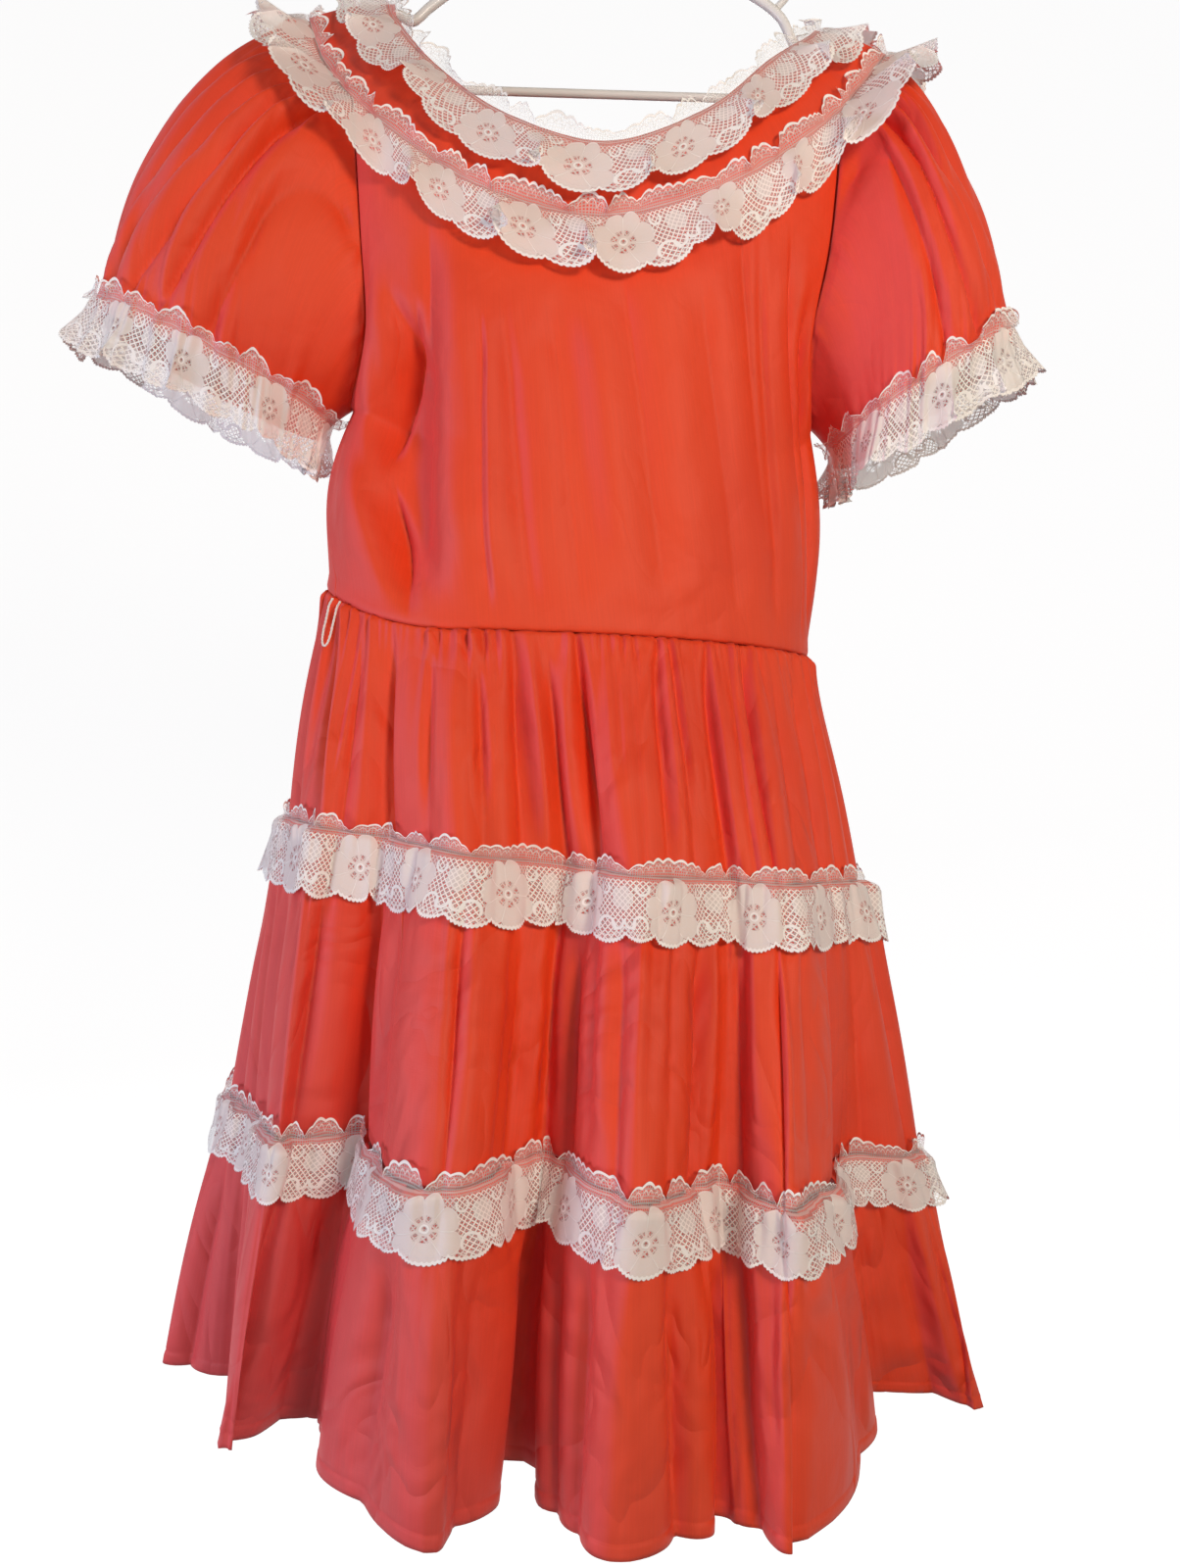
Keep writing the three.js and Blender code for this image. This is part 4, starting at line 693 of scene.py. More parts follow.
lace = {
    "header": 10,
    "band": 36,
    "repeat": 65,
    "clear": 1.8,
}
tierStrip = {"wave": 7, "standOut": 1.2, "sway": 7, "lean": 0.6, "ruffle": 3.6, "lift": 5}
cuffStrip = {"round": 500, "columns": 560, "waves": 10, "wave": 13, "standOut": 4, "sway": 10, "lean": 1.6,
             "ruffle": 6, "ruffles": 10, "lift": 11, "arcs": 18}
laceStrips = {
    "neckLace": {"round": 850, "columns": 900, "waves": 15, "wave": 19, "standOut": 5, "sway": 17, "lean": 1.5,
                 "ruffle": 6, "ruffles": 13, "lift": 13, "arcs": 30, "seed": 3},
    "yokeLace": {"round": 1150, "columns": 1300, "waves": 22, "wave": 21, "standOut": 3, "sway": 17, "lean": 1.0,
                 "ruffle": 8, "ruffles": 19, "lift": 15, "arcs": 42, "seed": 4},
    "tierLaceUpper": {**tierStrip, "round": 1290, "columns": 1440, "waves": 25, "ruffles": 29, "arcs": 44, "seed": 6},
    "tierLaceLower": {**tierStrip, "round": 1700, "columns": 1680, "waves": 31, "ruffles": 36, "arcs": 58, "seed": 7},
    "sleeveLaceRight": {**cuffStrip, "seed": 9},
    "sleeveLaceLeft": {**cuffStrip, "seed": 10},
}
laceRows = np.array([-10, -8, -5.5, -3, -1.2, 0, 1.2, 3, 6, 10, 14, 19, 24, 29, 33, 36.0])


def wavy(place, count, dice, wobble=0.9):  # an uneven wave from 0 to 1, closed once round
    phases = dice.uniform(0, 2 * np.pi, 4)
    angle = 2 * np.pi * count * place + phases[0]
    angle = angle + wobble * np.sin(2 * np.pi * 3 * place + phases[1])
    angle = angle + 0.7 * wobble * np.sin(2 * np.pi * max(2, count // 3) * place + phases[2])
    size = 0.8 + 0.2 * np.cos(2 * np.pi * 5 * place + phases[3])
    return (0.5 - 0.5 * np.cos(angle)) * size, np.sin(angle) * size


def makeLace(name, surface):  # surface(place, distance) gives the cloth below it and its outward direction
    s = laceStrips[name]
    place, distance = np.meshgrid(np.arange(s["columns"]) / s["columns"], laceRows)
    dice = np.random.RandomState(s["seed"])
    uneven = 0.35 * np.sin(2 * np.pi * (s["arcs"] // 3) * place + dice.uniform(0, 6))
    turns = np.pi * (s["arcs"] * place + uneven)
    arch = 0.22 + 0.95 * np.abs(np.sin(turns)) ** 0.8  # the header stands in arches between its gathers
    headed = np.where(distance < 0, distance * arch, distance)
    bandShare, headerShare = np.clip(distance / lace["band"], 0, 1), np.clip(-distance / lace["header"], 0, 1)
    wave, side = wavy(place, s["waves"], dice)
    ruffle, ruffleSide = wavy(place, s["ruffles"] * 2, dice, 1.6)
    fine, _ = wavy(place, s["ruffles"] * 4 + 5, dice, 2.0)
    out = lace["clear"] + s["standOut"] * bandShare + s["wave"] * wave * bandShare**1.1
    out = out + headerShare * (s["lean"] + s["ruffle"] * ruffle)
    out = out + 1.0 * fine * np.exp(-((np.abs(distance) - 4) ** 2) / 18)
    sway = s["sway"] * side * bandShare**1.2 + 2.0 * ruffleSide * headerShare
    lift = s["lift"] * (0.5 - wave) * bandShare - 0.5 * s["lift"] * (0.5 - ruffle) * headerShare
    base, normal = surface((place + sway / s["round"]) % 1, headed + lift)
    points = base + normal * out[..., None]
    ring = np.concatenate([points, points[:, :1]], 1)
    steps = np.linalg.norm(np.diff(ring[5:13], axis=1), axis=-1).mean(0)
    total = steps.sum()
    repeats = max(1, round(total / lace["repeat"]))
    u = np.concatenate([[0], np.cumsum(steps)]) / total * repeats
    pattern = np.stack(np.meshgrid(u, (lace["band"] - laceRows) / (lace["band"] + lace["header"])), -1)
    piece = clothObject(name, points, closed=True, maps={"laceMap": pattern})
    print(f"{name}: {total:.0f} mm round, {repeats} repeats")
    return piece


def tierLaceSurface(k):
    def surface(place, distance):
        at = place * foldCount
        upper, lower = skirt["length"][k], skirt["length"][k + 1]

        def under(at):
            above = tierCloth(k, at, 1 - np.clip(-distance, 0, None) / upper)
            below = tierCloth(k + 1, at, np.clip(distance, 0, None) / lower)
            return mix(above, below, smoothstep(distance, -2, 2))

        step = 0.04
        before = unit(skirtRing(k + 1, at) - skirtRing(k + 1, at - step))
        after = unit(skirtRing(k + 1, at + step) - skirtRing(k + 1, at))
        direction = outwardOf(before + after)
        base = under(at)
        near = [np.sum((under(at + aside) - base) * direction, -1) for aside in (-0.06, -0.03, 0.03, 0.06)]
        bridged = np.maximum(0, np.max(near, 0))  # it lies over narrow pleats
        lift = 1.8 * np.exp(-((distance / 2.5) ** 2)) + bridged
        return base + direction * lift[..., None], direction
    return surface


def neckLaceSurface(place, distance):
    angle = -180 + 360 * place
    edge = yokePoint(angle, 0 * angle)
    down = unit(yokePoint(angle, 0 * angle + 0.5) - edge)
    drop = np.where(distance > 0, 3 + distance * 0.92, 3 + distance * 1.2)
    return edge + down * drop[..., None], yokeNormal(angle, 0 * angle)


def belowYoke(angle, distance):  # a step from the yoke seam down the bodice, or over a sleeve at the sides
    a = bodice["armholeAngle"]
    fromFront = np.abs(angle)
    total = np.zeros(angle.shape + (3,))
    past = [smoothstep(fromFront, join - 12, join + 12) for join in (a, 180 - a)]
    sleeveShare = past[0] * (1 - past[1])
    for half in ("front", "back"):
        _, tops, _ = bodiceEnds(half)
        turned = np.where(angle < 0, angle + 360, angle) if half == "back" else angle
        u = np.clip((turned - tops[0]) / (tops[1] - tops[0]), 0, 1)
        step = unit(bodicePoint(half, u, 0 * u + 0.15) - bodicePoint(half, u, 0 * u))
        here = (fromFront < 90) if half == "front" else (fromFront >= 90)
        total = total + step * (here * (1 - sleeveShare))[..., None]
    for side in ("right", "left"):
        first = -(180 - a) if side == "right" else a
        column = np.clip((angle - first) / ((180 - 2 * a) / sleeves["capColumns"]), 0, sleeves["capColumns"])
        step = unit(sleevePlain(side, column, 0 * column + 0.2) - sleevePlain(side, column, 0 * column))
        here = (angle < 0) if side == "right" else (angle >= 0)
        total = total + step * (here * sleeveShare)[..., None]
    return unit(total) * distance[..., None], sleeveShare


def yokeLaceSurface(place, distance):
    angle = -180 + 360 * place
    seam = yokeSeam(angle)
    above = unit(yokePoint(angle, 0 * angle + 0.5) - seam)
    step, sleeveShare = belowYoke(angle, np.clip(distance, 0, None))
    normal = yokeNormal(angle, 0 * angle + 1)
    lift = 3 + 6 * sleeveShare + 8 * 4 * sleeveShare * (1 - sleeveShare)
    lift = lift * np.clip(distance / lace["band"], 0, 1)
    base = seam + above * np.clip(-distance, 0, None)[..., None] + step + normal * lift[..., None]
    return base, normal


def sleeveLaceSurface(side):
    def surface(place, distance):
        column = place * sleeves["turnColumns"]
        edge = sleevePoint(side, column, 0 * column + 1)
        before = sleevePoint(side, column, 0 * column + 0.84)
        upward = unit(before - edge)
        behind = smoothstep(-np.sin(sleeveTurn(side, column)), -0.1, 0.8)  # the back of the frill flares
        rise = 12 - distance * (1 - 0.5 * behind * (distance > 0))
        normal = sleeveNormal(side, column, 0 * column + 1)
        flare = 0.6 * behind * np.clip(distance, 0, None)
        base = edge + upward * rise[..., None]
        length = np.linalg.norm(before - edge, axis=-1) / 0.16
        cloth = sleevePoint(side, column, 1 - np.clip(rise, 0, None) / length)
        over = np.clip(np.sum((cloth - base) * normal, -1), 0, 9) * (rise > 0)
        return base + normal * (flare + over)[..., None], normal
    return surface


pieces = {}
for k in range(3):
    for half in ("front", "back"):
        pieces[f"skirt_tier_{k + 1}_{half}"] = makeTier(k, half)
print("skirt made")
for half in ("front", "back"):
    pieces[f"yoke_{half}"] = makeYoke(half)
    pieces[f"bodice_{half}"] = makeBodice(half)
for side in ("right", "left"):
    pieces[f"sleeve_{side}"] = makeSleeve(side)
print("bodice, yoke and sleeves made")
pieces.update({
    "neck_lace": makeLace("neckLace", neckLaceSurface),
    "yoke_lace": makeLace("yokeLace", yokeLaceSurface),
    "tier_lace_upper": makeLace("tierLaceUpper", tierLaceSurface(0)),
    "tier_lace_lower": makeLace("tierLaceLower", tierLaceSurface(1)),
    "sleeve_lace_right": makeLace("sleeveLaceRight", sleeveLaceSurface("right")),
    "sleeve_lace_left": makeLace("sleeveLaceLeft", sleeveLaceSurface("left")),
})
print("lace made")


# Hanger: hook, arms with two strap pegs, and bar, moulded in one plastic

hanger = {
    "armRadius": 3.5,
    "barRadius": 3,
    "hookRadius": 2.5,
    "hookInside": 20,
    "halfSpan": 190,
    "top": -82,
    "barLevel": -185,
    "barHalfLength": 184,
    "gap": 0.3,
    "ridgeClear": 1.3,
    "fromHub": [(60, 14), (100, 30), (122, 46)],
    "toBar": [(198, 12), (194, 3), (189, 0)],
    "hookTurns": (-50, 205, 25.5),
    "peg": {"x": 115, "radius": 2.5, "height": 9},
}


def underRidge(angle, v):
    drop = 1.5 + hanger["ridgeClear"] + hanger["armRadius"]
    angle, low = np.array(float(angle)), 0.0 if v < 0.5 else 0.5
    ridge = mix(yokePoint(angle, np.array(low)), yokePoint(angle, np.array(low + 0.5)), (v - low) * 2)
    spot = ridge - yokeNormal(angle, np.array(v)) * drop
    return np.array([spot[0], 0, spot[2]])


def armLine(sign):
    h = hanger
    angle = 90 * sign
    neckX, seamX = abs(neckline(np.array(float(angle)))[0]), abs(yokeSeam(np.array(float(angle)))[0])
    entry, tip = underRidge(angle, 0), underRidge(angle, (h["halfSpan"] - neckX) / (seamX - neckX))
    rows = [(x * sign, 0, h["top"] - drop) for x, drop in h["fromHub"]]
    rows += [((neckX - 12) * sign, 0, entry[2] - 4), entry, entry * 0.4 + tip * 0.6, tip]
    rows += [(h["toBar"][0][0] * sign, 0, tip[2] - 12)]
    rows += [(x * sign, 0, h["barLevel"] + rise) for x, rise in h["toBar"]]
    rows += [((h["barHalfLength"] + h["gap"]) * sign, 0, h["barLevel"])]
    return [np.array(row, float) for row in rows]


def roundBar(name, rows, radius, samples):  # a plastic bar through points
    line = openCurve(rows, np.linspace(0, 1, samples)) * 0.001
    data = bpy.data.curves.new(name, "CURVE")
    data.dimensions = "3D"
    spline = data.splines.new("POLY")
    spline.points.add(samples - 1)
    spline.points.foreach_set("co", np.concatenate([line, np.ones((samples, 1))], 1).ravel())
    data.bevel_depth = radius * 0.001
    data.bevel_resolution = 5
    data.use_fill_caps = True
    bar = newObject(name, data)
    bpy.ops.object.select_all(action="DESELECT")
    bar.select_set(True)
    bpy.context.view_layer.objects.active = bar
    bpy.ops.object.convert(target="MESH")
    bar = bpy.context.view_layer.objects.active
    shadeSmooth(bar.data)
    return bar


def makeHanger():
    h = hanger
    hub = np.array([0, 0, h["top"]], float)
    arms = [*reversed(armLine(-1)), hub, *armLine(1)]
    made = {"hanger_arms": roundBar("hangerArms", arms, h["armRadius"] - 0.05, 260)}
    bar = [(x, 0, h["barLevel"]) for x in (-h["barHalfLength"], 0, h["barHalfLength"])]
    made["hanger_bar"] = roundBar("hangerBar", bar, h["barRadius"] - 0.05, 9)
    bend = h["hookInside"] + h["hookRadius"]
    low, high, step = h["hookTurns"]
    turns = np.radians(np.arange(low, high + 0.1, step))
    stem = [(0, 0, h["top"] + h["armRadius"] + h["gap"]), (0, 0, h["top"] + 22)]
    arc = [(bend * math.cos(a), 0, bend * math.sin(a) - h["hookInside"]) for a in turns]
    made["hanger_hook"] = roundBar("hangerHook", stem + arc, h["hookRadius"], 110)
    line = openCurve(arms, np.linspace(0, 1, 400))
    for sign, side in ((-1, "Right"), (1, "Left")):
        near = int(np.argmin(np.abs(line[:, 0] - (h["peg"]["x"] + 2.6) * sign)))
        along = unit(line[near + 1] - line[near - 1])
        square = np.array([-along[2], 0, along[0]])
        foot = line[near] + square * (h["armRadius"] - 0.6)
        top = line[near] + square * (h["armRadius"] + h["peg"]["height"])
        rows = [foot, foot * 0.5 + top * 0.5, top]
        made[f"hanger_peg_{side.lower()}"] = roundBar(f"hangerPeg{side}", rows, h["peg"]["radius"], 7)
    return made


pieces.update(makeHanger())
print("hanger made")


# Belt loop of chained thread at the wearer's right side seam. Its legs leave the waist seam at two places
# round the skirt's folds, lie over the gathers and meet in a round turn; lengths in millimetres.

beltLoop = {
    "from": 1.66, "to": 1.86, "leg": 23, "round": 9, "legRows": 5, "roundRows": 5,
    "clear": 3, "seamClear": 1.6, "seamDrop": 3, "touch": 0.9,
    "gather": 3.0, "gatherEnd": 0.7, "gatherFade": 1.4,  # as deep as the gathers of the part's own first tier
    "diameter": 0.0016, "stitches": 26, "points": 260, "sides": 12,
}


def loopPlaces():  # places round the skirt and drops below the seam, down one leg and up the other
    b = beltLoop
    down = np.linspace(0, b["leg"], b["legRows"] + 1)
    turn = np.pi * np.arange(1, b["roundRows"]) / b["roundRows"]
    middle, reach = (b["from"] + b["to"]) / 2, (b["to"] - b["from"]) / 2
    at = np.concatenate([b["from"] + 0 * down, middle - reach * np.cos(turn), b["to"] + 0 * down])
    return at, np.concatenate([down, b["leg"] + b["round"] * np.sin(turn), down[::-1]])


def loopRoute():  # in metres, outside both the plain gathered form and this cloth's own gathers
    b = beltLoop
    at, drop = loopPlaces()
    v = drop / skirt["length"][0]
    base, normal = tierFrame(0, at, v)
    cloth = np.sum((tierCloth(0, at, v) - base) * normal, -1)
    gather = b["gather"] + (b["gatherEnd"] - b["gather"]) * np.minimum(1, v * b["gatherFade"])
    clear = b["seamClear"] + (b["clear"] - b["seamClear"]) * np.minimum(1, drop / b["seamDrop"])
    plain = skirt["bulge"] * np.sin(np.pi * v) + gather * (0.5 - 0.5 * np.cos(2 * np.pi * at))
    out = np.maximum(plain + clear, cloth + b["touch"])
    return (base + normal * out[:, None]) / 1000


def makeBeltLoop():
    rows = loopRoute()
    count, sides = beltLoop["points"], beltLoop["sides"]
    share = np.linspace(0, 1, count)
    line = openCurve(rows, share)
    tangent = unit(np.gradient(line, axis=0))
    across = unit(np.cross(tangent, [0.2, 1.0, 0.1]))
    square = np.cross(tangent, across)
    turn = np.linspace(0, 2 * np.pi, sides, endpoint=False)
    bead = np.abs(np.sin(np.pi * beltLoop["stitches"] * share))[:, None]
    plait = 0.14 * np.cos(2 * turn[None, :] + 2 * np.pi * beltLoop["stitches"] * share[:, None])
    radius = beltLoop["diameter"] / 2 * (0.78 + 0.18 * bead + plait)
    ring = (across[:, None] * np.cos(turn)[None, :, None] + square[:, None] * np.sin(turn)[None, :, None])
    points = (line[:, None] + ring * radius[..., None]).transpose(1, 0, 2)
    starts = [(j * count, (j + 1) % sides * count) for j in range(sides)]
    corners = [[a + i, a + i + 1, b + i + 1, b + i] for i in range(count - 1) for a, b in starts]
    corners += [[a for a, _ in starts], [a + count - 1 for a, _ in reversed(starts)]]
    mesh = bpy.data.meshes.new("beltLoop")
    mesh.from_pydata(points.reshape(-1, 3).tolist(), [], corners)
    shadeSmooth(mesh)
    loop = newObject("beltLoop", mesh)
    return loop


pieces["belt_loop"] = makeBeltLoop()


# Materials

clothFinish = {
    "colour": (0.82, 0.062, 0.008, 1),
    "deep": (0.76, 0.046, 0.006, 1),
    # dusty rose of painted light: a cool window light from low on the −X side, painted into the colour
    "paintedWindowRose": (0.56, 0.065, 0.085, 1),
    # pink of painted light on faces turned to −X, where a cool window light falls, and how much of it is mixed in
    "paintedWindowPink": (0.80, 0.080, 0.090, 1),
    "paintedWindowPinkShare": 0.6,
    "roughness": 0.6,
    "sheen": 0.03,
    "sheenTint": (0.95, 0.72, 0.85, 1),
    "slub": 0.35,
    "crumple": 0.0010,
    "dents": 0.0030,
    "wrinkles": 0.022,
}
laceFinish = {"colour": (0.97, 0.93, 0.88, 1), "cord": (0.98, 0.96, 0.93, 1), "roughness": 0.7, "sheen": 0.4}
plasticFinish = {"colour": (0.82, 0.81, 0.78, 1), "roughness": 0.32}
threadFinish = {"colour": (0.90, 0.87, 0.82, 1), "roughness": 0.8}


def newMaterial(name):
    material = bpy.data.materials.new(name)
    material.use_nodes = True
    tree = material.node_tree
    shader = next(node for node in tree.nodes if node.type == "BSDF_PRINCIPLED")
    return material, tree, shader


def plug(tree, socket, value):
    if isinstance(value, bpy.types.NodeSocket):
        tree.links.new(value, socket)
    else:
        socket.default_value = value


def calc(tree, operation, *values):
    node = tree.nodes.new("ShaderNodeMath")
    node.operation = operation
    for socket, value in zip(node.inputs, values):
        plug(tree, socket, value)
    return node.outputs[0]


def noiseOf(tree, vector, scale, detail=3.0, roughness=0.55, distortion=0.0):
    node = tree.nodes.new("ShaderNodeTexNoise")
    plug(tree, node.inputs["Vector"], vector)
    node.inputs["Scale"].default_value = scale
    node.inputs["Detail"].default_value = detail
    node.inputs["Roughness"].default_value = roughness
    node.inputs["Distortion"].default_value = distortion
    return node.outputs["Fac"]


def stretched(tree, vector, scale):
    node = tree.nodes.new("ShaderNodeMapping")
    plug(tree, node.inputs["Vector"], vector)
    node.inputs["Scale"].default_value = scale
    return node.outputs["Vector"]


def mixColour(tree, factor, a, b):
    node = tree.nodes.new("ShaderNodeMix")
    node.data_type = "RGBA"
    plug(tree, node.inputs[0], factor)
    plug(tree, node.inputs[6], a)
    plug(tree, node.inputs[7], b)
    return node.outputs[2]


def ramp(tree, value, low, high):
    node = tree.nodes.new("ShaderNodeMapRange")
    node.interpolation_type = "SMOOTHSTEP"
    plug(tree, node.inputs["Value"], value)
    node.inputs["From Min"].default_value = low
    node.inputs["From Max"].default_value = high
    return node.outputs["Result"]


def bump(tree, height, distance, strength=1.0, under=None):
    node = tree.nodes.new("ShaderNodeBump")
    plug(tree, node.inputs["Height"], height)
    node.inputs["Distance"].default_value = distance
    node.inputs["Strength"].default_value = strength
    if under:
        plug(tree, node.inputs["Normal"], under)
    return node.outputs["Normal"]


def makeCloth():
    f = clothFinish
    material, tree, shader = newMaterial("orangeRedCotton")
    place = tree.nodes.new("ShaderNodeTexCoord").outputs["Object"]
    uv = tree.nodes.new("ShaderNodeUVMap")
    uv.uv_map = "clothMap"
    weave = uv.outputs["UV"]
    slub = noiseOf(tree, stretched(tree, weave, (900, 16, 1)), 1.0, 4, 0.6)
    cross = noiseOf(tree, stretched(tree, weave, (22, 1100, 1)), 1.0, 3, 0.6)
    cloud = noiseOf(tree, place, 7, 3)
    colour = mixColour(tree, ramp(tree, cloud, 0.3, 0.75), f["colour"], f["deep"])
    parts = tree.nodes.new("ShaderNodeSeparateXYZ")
    plug(tree, parts.inputs[0], place)
    # painted light: the colour turns dusty rose towards the bottom and towards −X, standing in for a cool window
    # light from low on that side
    low = calc(tree, "MULTIPLY_ADD", parts.outputs["Z"], -1.0, -0.84)
    side = calc(tree, "MULTIPLY_ADD", parts.outputs["X"], -1.6, 0.0)
    paintedWindowRose = ramp(tree, calc(tree, "ADD", low, side), 0.0, 0.55)
    colour = mixColour(tree, calc(tree, "MULTIPLY", paintedWindowRose, 0.75), colour, f["paintedWindowRose"])
    facing = tree.nodes.new("ShaderNodeSeparateXYZ")  # painted light: faces whose world normal points to −X turn pinker, standing in for a cool window light from that side
    plug(tree, facing.inputs[0], tree.nodes.new("ShaderNodeNewGeometry").outputs["Normal"])
    paintedWindowPink = ramp(tree, calc(tree, "MULTIPLY", facing.outputs["X"], -1.0), 0.05, 0.6)
    colour = mixColour(tree, calc(tree, "MULTIPLY", paintedWindowPink, f["paintedWindowPinkShare"]), colour, f["paintedWindowPink"])
    streak = ramp(tree, slub, 0.35, 0.75)
    light = tree.nodes.new("ShaderNodeHueSaturation")
    plug(tree, light.inputs["Color"], colour)
    plug(tree, light.inputs["Value"], calc(tree, "MULTIPLY_ADD", streak, 0.05, 0.975))
    plug(tree, shader.inputs["Base Color"], light.outputs["Color"])
    shader.inputs["Roughness"].default_value = f["roughness"]
    shader.inputs["Sheen Weight"].default_value = f["sheen"]
    shader.inputs["Sheen Roughness"].default_value = 0.5
    shader.inputs["Sheen Tint"].default_value = f["sheenTint"]
    shader.inputs["Specular IOR Level"].default_value = 0.25
    ridge = calc(tree, "SUBTRACT", noiseOf(tree, stretched(tree, place, (15, 15, 10)), 1.0, 2, 0.5, 0.8), 0.5)
    skirtShare = ramp(tree, calc(tree, "MULTIPLY", parts.outputs["Z"], -1.0), 0.4, 0.95)
    skirtShare = calc(tree, "MULTIPLY_ADD", skirtShare, 0.8, 0.2)
    ridge = calc(tree, "MULTIPLY", calc(tree, "ABSOLUTE", ridge), skirtShare)
    dents = bump(tree, noiseOf(tree, place, 13, 3, 0.5, 0.4), f["dents"], 0.9)
    dents = bump(tree, ridge, f["wrinkles"], 0.9, dents)
    crumple = bump(tree, noiseOf(tree, place, 42, 4, 0.5, 0.6), f["crumple"], 0.9, dents)
    threads = calc(tree, "ADD", slub, cross)
    plug(tree, shader.inputs["Normal"], bump(tree, threads, 0.00018, f["slub"], crumple))
    return material


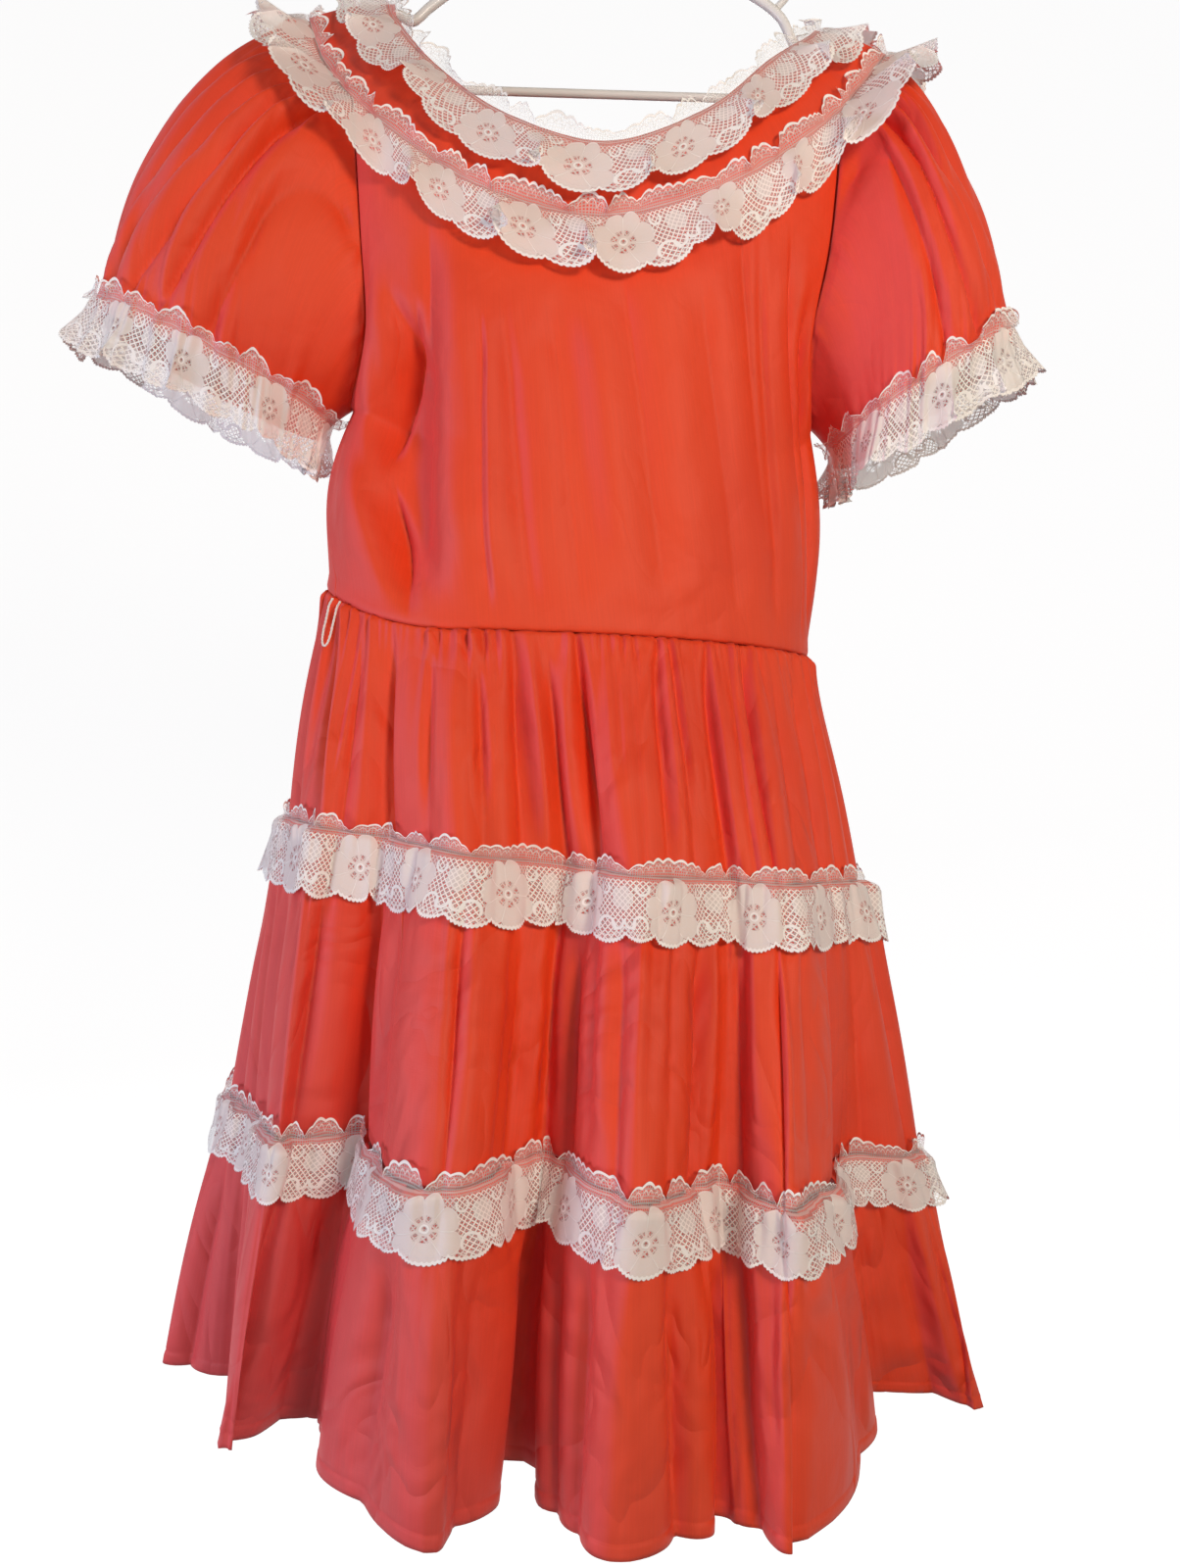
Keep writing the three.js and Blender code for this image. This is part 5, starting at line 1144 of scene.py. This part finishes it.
def makeLaceMaterial():
    f = laceFinish
    material, tree, shader = newMaterial("gatheredLace")
    uv = tree.nodes.new("ShaderNodeUVMap")
    uv.uv_map = "laceMap"
    parts = tree.nodes.new("ShaderNodeSeparateXYZ")
    plug(tree, parts.inputs[0], uv.outputs["UV"])
    half, width = lace["repeat"] / 2, float(lace["band"] + lace["header"])

    def m(operation, *values):
        return calc(tree, operation, *values)

    cell = m("FRACT", parts.outputs["X"])
    x = m("MULTIPLY_ADD", cell, 2 * half, -half)  # across one repeat, from the middle of the flower
    y = m("MULTIPLY_ADD", parts.outputs["Y"], -width, width)  # down from the upper edge

    def near(value, reach, soft=0.25):  # 1 where the value is within reach of 0
        return m("SUBTRACT", 1.0, ramp(tree, m("ABSOLUTE", value), reach, reach + soft))

    def above(value, edge, soft=0.3):
        return ramp(tree, value, edge - soft, edge + soft)

    def most(*values):
        result = values[0]
        for value in values[1:]:
            result = m("MAXIMUM", result, value)
        return result

    def flower(cx, cy, radius, petals, lobe, turn=0.0):
        dx, dy = m("SUBTRACT", x, cx), m("SUBTRACT", y, cy)
        far = m("SQRT", m("ADD", m("MULTIPLY", dx, dx), m("MULTIPLY", dy, dy)))
        angle = m("ADD", m("ARCTAN2", dy, dx), turn)
        lobes = m("ABSOLUTE", m("COSINE", m("MULTIPLY", angle, petals / 2)))
        edge = m("MULTIPLY_ADD", m("POWER", lobes, 0.6), lobe, radius - lobe)
        body = m("SUBTRACT", 1.0, above(m("SUBTRACT", far, edge), 0.0))
        rim = m("MULTIPLY", near(m("SUBTRACT", far, edge), 0.3), 0.85)
        vein = m("MULTIPLY", near(m("COSINE", m("MULTIPLY", angle, petals / 2)), 0.05, 0.06), body)
        ribs = m("MULTIPLY", near(m("SINE", m("MULTIPLY", angle, petals * 1.5)), 0.12, 0.2), 0.45)
        vein = m("MULTIPLY", m("MAXIMUM", vein, m("MULTIPLY", ribs, body)), above(far, radius * 0.36))
        return far, body, rim, vein, lobes

    far, body, rim, vein, lobes = flower(0.0, 27.5, 18.0, 7, 4.2, 0.35)
    heart = near(m("SUBTRACT", far, 1.9), 0.45)
    eyelet = m("SUBTRACT", 1.0, above(far, 1.2))
    holes = m("MULTIPLY", near(m("SUBTRACT", far, 5.2), 1.5), above(lobes, 0.55, 0.06))
    inner = m("MULTIPLY", near(m("SUBTRACT", far, m("MULTIPLY_ADD", lobes, 3.4, 8.0)), 0.25), 0.5)
    _, bodyB, rimB, veinB, _ = flower(half, 22.0, 6.4, 5, 2.0)
    _, bodyC, rimC, veinC, _ = flower(-half, 22.0, 6.4, 5, 2.0)

    def scroll(cx, cy, radius, line, cut):
        dx, dy = m("SUBTRACT", x, cx), m("SUBTRACT", y, cy)
        distance = m("SQRT", m("ADD", m("MULTIPLY", dx, dx), m("MULTIPLY", dy, dy)))
        return m("MULTIPLY", near(m("SUBTRACT", distance, radius), line), above(m("MULTIPLY", dy, cut), -2.0))

    def threads(value, pitch, reach, soft):  # parallel threads of a net
        return near(m("SUBTRACT", m("FRACT", m("DIVIDE", value, pitch)), 0.5), reach, soft)

    scrolls = most(*(scroll(side * cx, cy, radius, line, cut) for cx, cy, radius, line, cut in (
        (21.5, 37.0, 5.0, 0.7, -1), (20.5, 16.5, 3.6, 0.6, 1), (28.5, 34.5, 3.4, 0.6, 1)) for side in (1, -1)))
    net = most(*(threads(m(slant, x, y), 3.4, 0.11, 0.08) for slant in ("ADD", "SUBTRACT")))
    fine = most(*(threads(value, 1.35, 0.16, 0.1) for value in (x, y)))
    scallop = m("ABSOLUTE", m("COSINE", m("MULTIPLY", x, math.pi * 3 / lace["repeat"])))
    picot = m("ABSOLUTE", m("COSINE", m("MULTIPLY", x, math.pi / 1.9)))
    low = m("ADD", m("MULTIPLY_ADD", m("POWER", scallop, 0.7), 4.6, 40.4), m("MULTIPLY", picot, 0.8))
    inside = m("SUBTRACT", 1.0, above(m("SUBTRACT", y, low), 0.0, 0.2))
    lowCord = near(m("ADD", m("SUBTRACT", y, low), 1.1), 0.75)
    lowLine = near(m("ADD", m("SUBTRACT", y, low), 4.0), 0.35)
    top = m("MULTIPLY_ADD", m("ABSOLUTE", m("COSINE", m("MULTIPLY", x, math.pi / 8.125))), -1.6, 2.2)
    headIn = above(m("SUBTRACT", y, top), 0.0, 0.2)
    topCord = near(m("SUBTRACT", m("SUBTRACT", y, top), 0.7), 0.55)
    stitches = m("MULTIPLY", near(m("SUBTRACT", y, float(lace["header"])), 0.35), 0.5)
    loops = m("ABSOLUTE", m("SINE", m("MULTIPLY", x, math.pi / 4.0625)))
    loops = m("SUBTRACT", m("SUBTRACT", y, top), m("MULTIPLY_ADD", loops, -2.2, 5.2))
    loops = m("MULTIPLY", near(loops, 0.25), 0.75)
    middle = above(m("ABSOLUTE", x), 16.5, 0.8)  # the ground between two flowers has the diamond net
    bandZone = above(y, 12.0, 0.6)
    diamonds = m("MULTIPLY", m("MULTIPLY", net, bandZone), m("MULTIPLY_ADD", middle, 0.25, 0.7))
    ground = most(m("MULTIPLY", fine, 0.42), 0.09, diamonds)
    petals = most(m("MULTIPLY", body, 0.78), m("MULTIPLY", bodyB, 0.7), m("MULTIPLY", bodyC, 0.7))
    petals = m("MULTIPLY", petals, m("SUBTRACT", 1.0, m("MULTIPLY", m("ADD", holes, eyelet), 0.9)))
    cords = most(rim, vein, heart, inner, rimB, veinB, rimC, veinC, scrolls, lowCord, m("MULTIPLY", lowLine, 0.8),
                 topCord, stitches, loops)
    alpha = most(ground, petals, m("MULTIPLY", cords, 0.97))
    alpha = m("MULTIPLY", alpha, m("MULTIPLY", inside, headIn))
    plug(tree, shader.inputs["Alpha"], alpha)
    plug(tree, shader.inputs["Base Color"], mixColour(tree, cords, f["colour"], f["cord"]))
    shader.inputs["Roughness"].default_value = f["roughness"]
    shader.inputs["Sheen Weight"].default_value = f["sheen"]
    plug(tree, shader.inputs["Normal"], bump(tree, most(cords, m("MULTIPLY", petals, 0.5)), 0.0004, 0.8))
    return material


def makePlastic():
    f = plasticFinish
    material, tree, shader = newMaterial("whitePlastic")
    place = tree.nodes.new("ShaderNodeTexCoord").outputs["Object"]
    tone = noiseOf(tree, place, 30, 2)
    plug(tree, shader.inputs["Base Color"], mixColour(tree, tone, f["colour"], (0.88, 0.87, 0.84, 1)))
    gloss = calc(tree, "MULTIPLY_ADD", noiseOf(tree, place, 90, 3), 0.16, f["roughness"] - 0.08)
    plug(tree, shader.inputs["Roughness"], gloss)
    plug(tree, shader.inputs["Normal"], bump(tree, noiseOf(tree, place, 260, 2), 0.0001, 0.25))
    return material


def makeThread():
    f = threadFinish
    material, tree, shader = newMaterial("whiteThread")
    place = tree.nodes.new("ShaderNodeTexCoord").outputs["Object"]
    fibres = noiseOf(tree, place, 1800, 3)
    plug(tree, shader.inputs["Base Color"], mixColour(tree, fibres, f["colour"], (0.78, 0.74, 0.68, 1)))
    shader.inputs["Roughness"].default_value = f["roughness"]
    plug(tree, shader.inputs["Normal"], bump(tree, fibres, 0.0002, 0.6))
    return material


clothMaterial, laceMaterial = makeCloth(), makeLaceMaterial()
plasticMaterial, threadMaterial = makePlastic(), makeThread()
print("materials made")


# What each piece stands for and how it is held, its material, and the flat size of each cloth sheet

def flatSize(piece):  # the size of the sheet as it shows, all round where it is a tube
    layer = piece.data.uv_layers[0].data
    places = np.empty(len(layer) * 2)
    layer.foreach_get("uv", places)
    places = places.reshape(-1, 2)
    return places.max(0) - places.min(0)


for node, piece in pieces.items():
    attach(piece, "root")
    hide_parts(node)
    piece.data.materials.clear()
    if node.startswith("hanger"):
        piece.data.materials.append(plasticMaterial)
    elif node == "belt_loop":
        piece.data.materials.append(threadMaterial)
    else:
        isLace = "lace" in node
        piece.data.materials.append(laceMaterial if isLace else clothMaterial)
        if isLace:
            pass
        else:
            wide, tall = (float(side) for side in flatSize(piece))


# Studio: a pale bowl that is floor and backdrop in one, and soft light

studio = {
    "floor": -1.40,
    "radius": 2.4,
    "bend": 1.0,
    "height": 7.0,
    "paint": (0.5, 0.5, 0.5, 1),
    "glow": 0.86,
    "world": (1.0, 0.97, 0.96, 1),
    "worldStrength": 0.17,
}
lights = {  # place, aim, size, watts, colour
    "lampFront": ((0.6, -1.3, -0.22), (0, 0, -0.4), 0.35, 12, (1.0, 0.86, 0.72)),
    "windowLeft": ((-1.6, -0.9, -0.8), (-0.05, 0, -0.7), 0.9, 15.5, (0.80, 0.80, 1.0)),
    "backWash": ((0.3, 2.0, 0.9), (0, 0, -0.5), 1.2, 13, (1.0, 0.97, 0.94)),
}


def makeStudio():
    s = studio
    turns = np.linspace(0, math.pi / 2, 13)
    profile = [(0.0, 0.0), (0.8, 0.0), (1.6, 0.0)]
    profile += [(s["radius"] + s["bend"] * math.sin(a), s["bend"] * (1 - math.cos(a))) for a in turns]
    profile += [(s["radius"] + s["bend"], s["height"])]
    around = 64
    points, faces = [], []
    for radius, rise in profile:
        for k in range(around):
            a = 2 * math.pi * k / around
            points.append((radius * math.cos(a), radius * math.sin(a), s["floor"] + rise))
    for j in range(len(profile) - 1):
        for k in range(around):
            right = (k + 1) % around
            faces.append((j * around + k, j * around + right, (j + 1) * around + right, (j + 1) * around + k))
    mesh = bpy.data.meshes.new("studioFloor")
    mesh.from_pydata(points, [], faces[around:])
    shadeSmooth(mesh)
    floor = newObject("studioFloor", mesh)
    disc = bpy.data.meshes.new("studioMiddle")
    disc.from_pydata(points[around : 2 * around], [], [tuple(range(around))])
    centre = newObject("studioMiddle", disc)
    material, tree, shader = newMaterial("paleFloor")
    shader.inputs["Base Color"].default_value = s["paint"]
    shader.inputs["Roughness"].default_value = 0.95
    shader.inputs["Specular IOR Level"].default_value = 0.0
    shader.inputs["Emission Color"].default_value = (1, 1, 1, 1)
    shader.inputs["Emission Strength"].default_value = s["glow"]
    for surface in (floor, centre):
        surface.data.materials.append(material)
        surface.visible_diffuse = False  # the softer world light fills the folds
        surface.visible_shadow = False
    bpy.context.scene.view_settings.view_transform = "Standard"
    world = bpy.data.worlds.new("softWorld")
    world.use_nodes = True
    back = next(node for node in world.node_tree.nodes if node.type == "BACKGROUND")
    back.inputs["Color"].default_value = s["world"]
    back.inputs["Strength"].default_value = s["worldStrength"]
    bpy.context.scene.world = world
    for name, (place, aim, size, watts, colour) in lights.items():
        data = bpy.data.lights.new(name, "AREA")
        data.shape = "DISK"
        data.size, data.energy, data.color = size, watts, colour
        lamp = newObject(name, data)
        lamp.location = place
        lamp.rotation_euler = (Vector(aim) - Vector(place)).to_track_quat("-Z", "Y").to_euler()
        lamp.visible_camera = False


makeStudio()
print("studio made")
